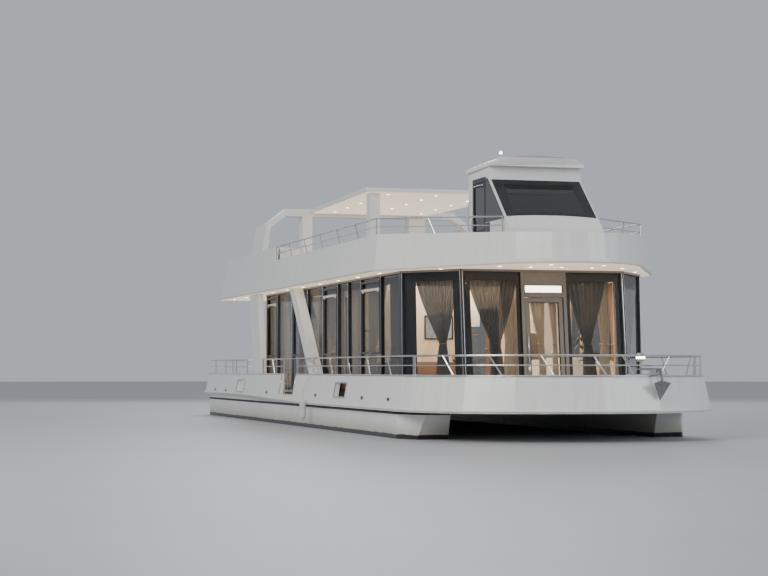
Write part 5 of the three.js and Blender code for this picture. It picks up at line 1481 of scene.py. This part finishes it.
def bar_handles(places, length=0.16):
    """Slim bow handles that stand on the fronts, lying level."""
    return gather(*[bow_handle((x - length / 2, 1.882, z), (x + length / 2, 1.882, z), 0.03, 0.005)
                    for x, z in places])


doors = [(*column, 1.75, 2.33) for column in COLUMNS] + [(*column, 2.335, 2.535) for column in COLUMNS]
tall_doors = [(*TALL_UNIT, 1.75, 2.5), (*TALL_UNIT, 3.42, 3.795)]
as_piece("galley_fronts", *fronts(doors + tall_doors), CABINET, smooth=False)
as_piece("galley_oven", *fronts([(*TALL_UNIT, 2.505, 3.13)], 0.02), DARK_GLASS, smooth=False)
grips = [((a + b) / 2, z) for a, b in COLUMNS for z in (2.28, 2.49)] + [(3.31, z) for z in (2.45, 3.08, 3.47)]
as_piece("galley_handles", *bar_handles(grips), STEEL)
top_low, top_high = (3.667, 1.88, WORKTOP - 0.0295), (4.965, 2.54, WORKTOP)
as_piece("galley_worktop", *rounded_block(top_low, top_high, 0.004), STONE)
hob_low, hob_high = (4.25, 1.96, WORKTOP + 0.0005), (4.82, 2.46, WORKTOP + 0.006)
as_piece("galley_hob", *rounded_block(hob_low, hob_high, 0.002), DARK_GLASS)
basin = [(0.09, 0), (0.17, 0.03), (0.2, 0.11), (0.188, 0.112), (0.155, 0.038), (0.05, 0.014)]
as_piece("galley_basin", *turned(basin, (3.95, 2.22, WORKTOP + 0.0005), sides=40), CREAM)
tap = [(3.95, 2.48, WORKTOP + 0.001), (3.95, 2.48, 2.8), (3.95, 2.46, 2.85), (3.95, 2.4, 2.87),
       (3.95, 2.34, 2.85), (3.95, 2.33, 2.8)]
as_piece("galley_tap", *tube(smooth_route(tap), 0.012), STEEL)
picture = rectangle(-0.72, -0.08, 3.0, 3.5)
picture_frame = ring_on(WALL_FACE, rectangle(-0.75, -0.05, 2.97, 3.53), picture, 0.001, 0.024)
as_piece("picture", *plate_on(WALL_FACE, picture, 0.004, 0.01), PICTURE, smooth=False)
as_piece("picture_frame", *picture_frame, BLACK, smooth=False)
as_piece("wall_cabinet", *rounded_block((2.961, 0.02, 3.27), (3.28, 0.5, 3.75), 0.006), CABINET)
as_piece("wall_shelf", *rounded_block((2.961, 0.02, 3.06), (3.2, 0.5, 3.09), 0.005), TABLE_WOOD)
as_piece("low_unit", *rounded_block((2.961, -1.9, 1.66), (3.36, -0.12, 2.45), 0.008), TABLE_WOOD)
print("galley fronts", len(doors + tall_doors))

# %% [markdown]
# Two potted palms stand behind the curtains. A frond is a long folded blade that droops as a parabola, and
# thirty of them, each a little different, make a palm. The bowl and the glasses on the table are turned.

# %% Plants and table things
TABLE_TOP = 2.4035


def frond(base, heading, reach, rise, drop, wide, steps=14):
    """A blade along base + t reach (cos, sin) with height rise t - drop t^2, wide sin(pi t^0.7) at t."""
    t = np.linspace(0.0, 1.0, steps)[:, None]
    way = np.array([np.cos(heading), np.sin(heading)])
    spine = base + np.concatenate([t * reach * way, rise * t - drop * t ** 2], 1)
    across = np.array([-way[1], way[0], 0.0]) * (0.002 + wide * np.sin(np.pi * t ** 0.7))
    lift = np.array([0.0, 0.0, 0.0015])
    up = np.array([0.0, 0.0, 1.0]) * np.abs(across).sum(1, keepdims=True) * 0.35
    rings = np.stack([spine - across + up, spine - lift, spine + across + up, spine + lift], 1)
    return skinned(rings)


def palm(name, x, y, height, seed):
    """A potted palm: thin stems of several heights, each with a crown of drooping fronds."""
    chance = np.random.default_rng(seed)
    pot = [(0.12, 0), (0.17, 0.3), (0.175, 0.34), (0.15, 0.34), (0.145, 0.3)]
    place = np.array([x, y, DECK_FLOOR + 0.0075])
    as_piece(f"{name}_pot", *turned(pot, place), CLAY)
    soil = place + (0, 0, 0.3)
    stems, leaves = [], []
    for k in range(5):
        lean = np.array([*chance.uniform(-0.07, 0.07, 2), 0.0])
        top = soil + lean + (0, 0, height * (0.35 + 0.13 * k))
        stems.append(tube([soil + lean * 0.4, (top + soil) / 2 + 0.006, top], 0.009, 8))
        for angle in np.arange(6) * 1.05 + chance.uniform(0, 6):
            reach, drop = chance.uniform(0.2, 0.34), chance.uniform(0.24, 0.45)
            leaves.append(frond(top, angle, reach, 0.34, drop, 0.022))
    as_piece(f"{name}_stems", *gather(*stems), LEAF_GREEN)
    as_piece(f"{name}_leaves", *gather(*leaves), LEAF_GREEN)


palm("starboard_palm", 3.5, -2.12, 1.5, 4)
palm("fore_palm", 7.95, 1.2, 1.2, 7)
bowl = [(0.06, 0), (0.15, 0.05), (0.17, 0.085), (0.163, 0.087), (0.14, 0.056), (0.04, 0.012)]
as_piece("table_bowl", *turned(bowl, (5.6, -0.76, TABLE_TOP), sides=32), CLAY)
goblet = [(0.034, 0), (0.034, 0.003), (0.005, 0.008), (0.005, 0.07), (0.032, 0.1), (0.036, 0.14),
          (0.034, 0.15), (0.0335, 0.14), (0.03, 0.102), (0.006, 0.078)]
goblets = [turned(goblet, (x, y, TABLE_TOP), sides=20) for x, y in ((5.3, -0.6), (5.85, -0.98))]
as_piece("table_glasses", *gather(*goblets), CLEAR_GLASS)
print("saloon furnished")

# %% [markdown]
# The remaining fittings: glass in the aft sliding door, screens and levers on the helm console, the lamp on
# the foredeck, and non-skid panels on every deck that is walked on.

# %% Aft door, helm console and deck panels
AFT_LEAF = plane((-5.45, 0, 0), (0, -1, 0), (0, 0, 1))
DESK = plane((8.5, 0, 5.13), (0, -1, 0), (0.7926, 0, 0.6097))


def disc_on(where, centre, radius, low, high, sides=32):
    """A round plate on a plane."""
    turn = np.linspace(0, 2 * np.pi, sides, endpoint=False)
    outline = np.array(centre) + radius * np.stack([np.cos(turn), np.sin(turn)], -1)
    return plate_on(where, outline, low, high)


def lever(a, lean):
    """A throttle lever on the desk: a bent stem with a round grip."""
    foot, knee = on_plane(DESK, [(a, 0.17)], 0.03)[0], on_plane(DESK, [(a, 0.17 + lean)], 0.1)[0]
    top = knee + (0.01, 0, 0.035)
    grip = turned([(0.006, 0), (0.014, 0.008), (0.014, 0.03), (0.006, 0.038)], top)
    return gather(tube([foot, knee, top], 0.006, 10), grip)


def walk_panels(xs, ys, long, wide, floor):
    """Thin panels with soft corners, long along X and wide along Y, whose low corners are at xs and ys."""
    outlines = [soft_outline(rectangle(x, x + long, y, y + wide), 0.05) for x in xs for y in ys]
    return [slab(outline, floor + 0.0004, floor + 0.0024) for outline in outlines]


glaze("aft_door_pane", AFT_LEAF, rectangle(0.14, 1.06, 1.82, 3.675), "aft_door")
aft_handle = bow_handle((-5.45, -1.13, 2.5), (-5.45, -1.13, 2.95), 0.045, 0.01, (-1, 0, 0))
as_piece("aft_door_handle", *aft_handle, STEEL, "aft_door")
screens = [rectangle(-0.58, -0.16, 0.04, 0.29), rectangle(-0.1, 0.24, 0.04, 0.29)]
bezels = [plate_on(DESK, soft_outline(grown(screen, 0.014), 0.012), 0.0005, 0.01) for screen in screens]
as_piece("helm_screen_bezels", *gather(*bezels), BLACK, smooth=False)
panes = [plate_on(DESK, screen, 0.0102, 0.0115) for screen in screens]
as_piece("helm_screens", *gather(*panes), DARK_GLASS, smooth=False)
dials = [(a, b) for a in (0.33, 0.46, 0.59) for b in (0.1, 0.23)]
as_piece("helm_dial_rims", *gather(*[disc_on(DESK, place, 0.05, 0.0005, 0.012) for place in dials]), STEEL)
as_piece("helm_dials", *gather(*[disc_on(DESK, place, 0.042, 0.0122, 0.0128) for place in dials]), DARK_GLASS)
throttle = plate_on(DESK, soft_outline(rectangle(-0.75, -0.63, 0.08, 0.26), 0.012), 0.0005, 0.03)
as_piece("throttle_base", *throttle, BLACK)
as_piece("throttle_levers", *gather(lever(-0.72, 0.02), lever(-0.66, 0.035)), STEEL)
lens = [(0.06, 0), (0.084, 0.012), (0.0864, 0.045), (0.084, 0.078), (0.06, 0.089)]
as_piece("foredeck_lamp_lens", *turned(lens, (10.9, 1.175, 2.4705), sides=36), WARM_LAMP)
decking = walk_panels((-0.8, 0.85, 2.5, 4.15), (-2.68, -1.32, 0.04, 1.4), 1.55, 1.3, UPPER_FLOOR)
decking += walk_panels((-11.4, -9.9, -8.4), (-2.5,), 1.4, 2.3, DECK_FLOOR)
decking += walk_panels((9.75,), (-1.7, -0.85, 0.0), 1.0, 0.8, DECK_FLOOR)
as_piece("non_skid_panels", *gather(*decking), DECKING, smooth=False)
print("fittings done")

# %% [markdown]
# Last come the room for the picture and the finish of the frame's own nodes. The floor lies at the
# waterline, and wide soft lamps stand well away from the boat, so its paint shows long smooth gradients.
# Warm lamps shine inside the cabin.

# %% Floor, light and the finish of the frame's nodes
FLOOR_RADIUS = 160.0
SALOON_LIGHT = UPPER_FOOT - 0.09


def studio_floor():
    """A wide pale disc at the waterline."""
    colour = (0.46, 0.465, 0.475)
    material, tree, shader = start_finish("studio_floor", colour, 0.5)
    drift(tree, shader, colour, 0.03, 0.4, object_place(tree))
    disc = turned([(FLOOR_RADIUS, -0.02), (FLOOR_RADIUS, 0.0)], (0, 0, WATERLINE), sides=96)
    as_mesh("studio_floor", *disc, material)


def area_light(name, place, aim, size, power, colour):
    """A lamp with a flat face of this size, at a place, that faces its aim."""
    data = bpy.data.lights.new(name, "AREA")
    data.shape, data.size, data.size_y = "RECTANGLE", *size
    data.energy, data.color = power, colour
    lamp = bpy.data.objects.new(name, data)
    bpy.context.scene.collection.objects.link(lamp)
    lamp.location = place
    lamp.rotation_euler = (Vector(aim) - Vector(place)).to_track_quat("-Z", "Y").to_euler()


def pale_world(strength):
    """Even light from all round."""
    world = bpy.data.worlds.new("pale_room")
    bpy.context.scene.world = world
    world.use_nodes = True
    background = world.node_tree.nodes["Background"]
    background.inputs[0].default_value = (0.62, 0.66, 0.72, 1)
    background.inputs[1].default_value = strength


FINISHES = {
    WHITE: "main_deck upper_deck port_raked_pillar starboard_raked_pillar port_aft_fin starboard_aft_fin "
           "aft_stairs aft_portal hardtop port_deck_locker starboard_deck_locker pilothouse pilothouse_roof",
    PONTOON: "port_pontoon starboard_pontoon",
    BLACK: "port_cabin_wall port_bow_cabin_wall front_cabin_wall starboard_bow_cabin_wall "
           "starboard_cabin_wall aft_cabin_wall pilothouse_door helm_console",
    TAUPE: "front_door aft_door",
    STEEL: "port_aft_bollard starboard_aft_bollard port_fore_bollard starboard_fore_bollard bow_rail "
           "starboard_rail port_rail stern_rail quarter_rail boarding_gate port_upper_rail "
           "starboard_upper_rail anchor_roller foredeck_lamp helm_wheel",
    BRONZE: "port_propeller starboard_propeller port_rudder starboard_rudder",
    IRON: "port_engine starboard_engine anchor",
    CREAM: "saloon_wall",
    CABINET: "galley_units",
    TABLE_WOOD: "saloon_table",
    SEAT_COVER: "starboard_sofa port_sofa",
    SEAT_HIDE: "helm_seat",
    VINYL: "fender",
    ROPE: "fender_rope",
}


def paint_nodes():
    """Puts each node's finish in all its material slots."""
    for finish, names in FINISHES.items():
        for name in names.split():
            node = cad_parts[name]
            if not node.material_slots:
                node.data.materials.append(finish)
            for slot in node.material_slots:
                slot.material = finish


studio_floor()
pale_world(0.75)
area_light("key", (26, -30, 22), (0, 0, 3), (22, 16), 9000, (1.0, 0.97, 0.93))
area_light("fill", (34, 24, 14), (2, 0, 3), (20, 14), 3200, (0.9, 0.95, 1.0))
area_light("back", (-30, 8, 20), (0, 0, 4), (20, 14), 4200, (0.95, 0.97, 1.0))
for k, x in enumerate((6.6, 3.2, -0.4, -3.6)):
    area_light(f"saloon_light_{k}", (x, 0, SALOON_LIGHT), (x, 0, 1.6), (2.2, 3.4), 190, (1.0, 0.84, 0.66))
paint_nodes()
finished = sum(len(names.split()) for names in FINISHES.values())
print("finished nodes", finished, "of", len(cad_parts))
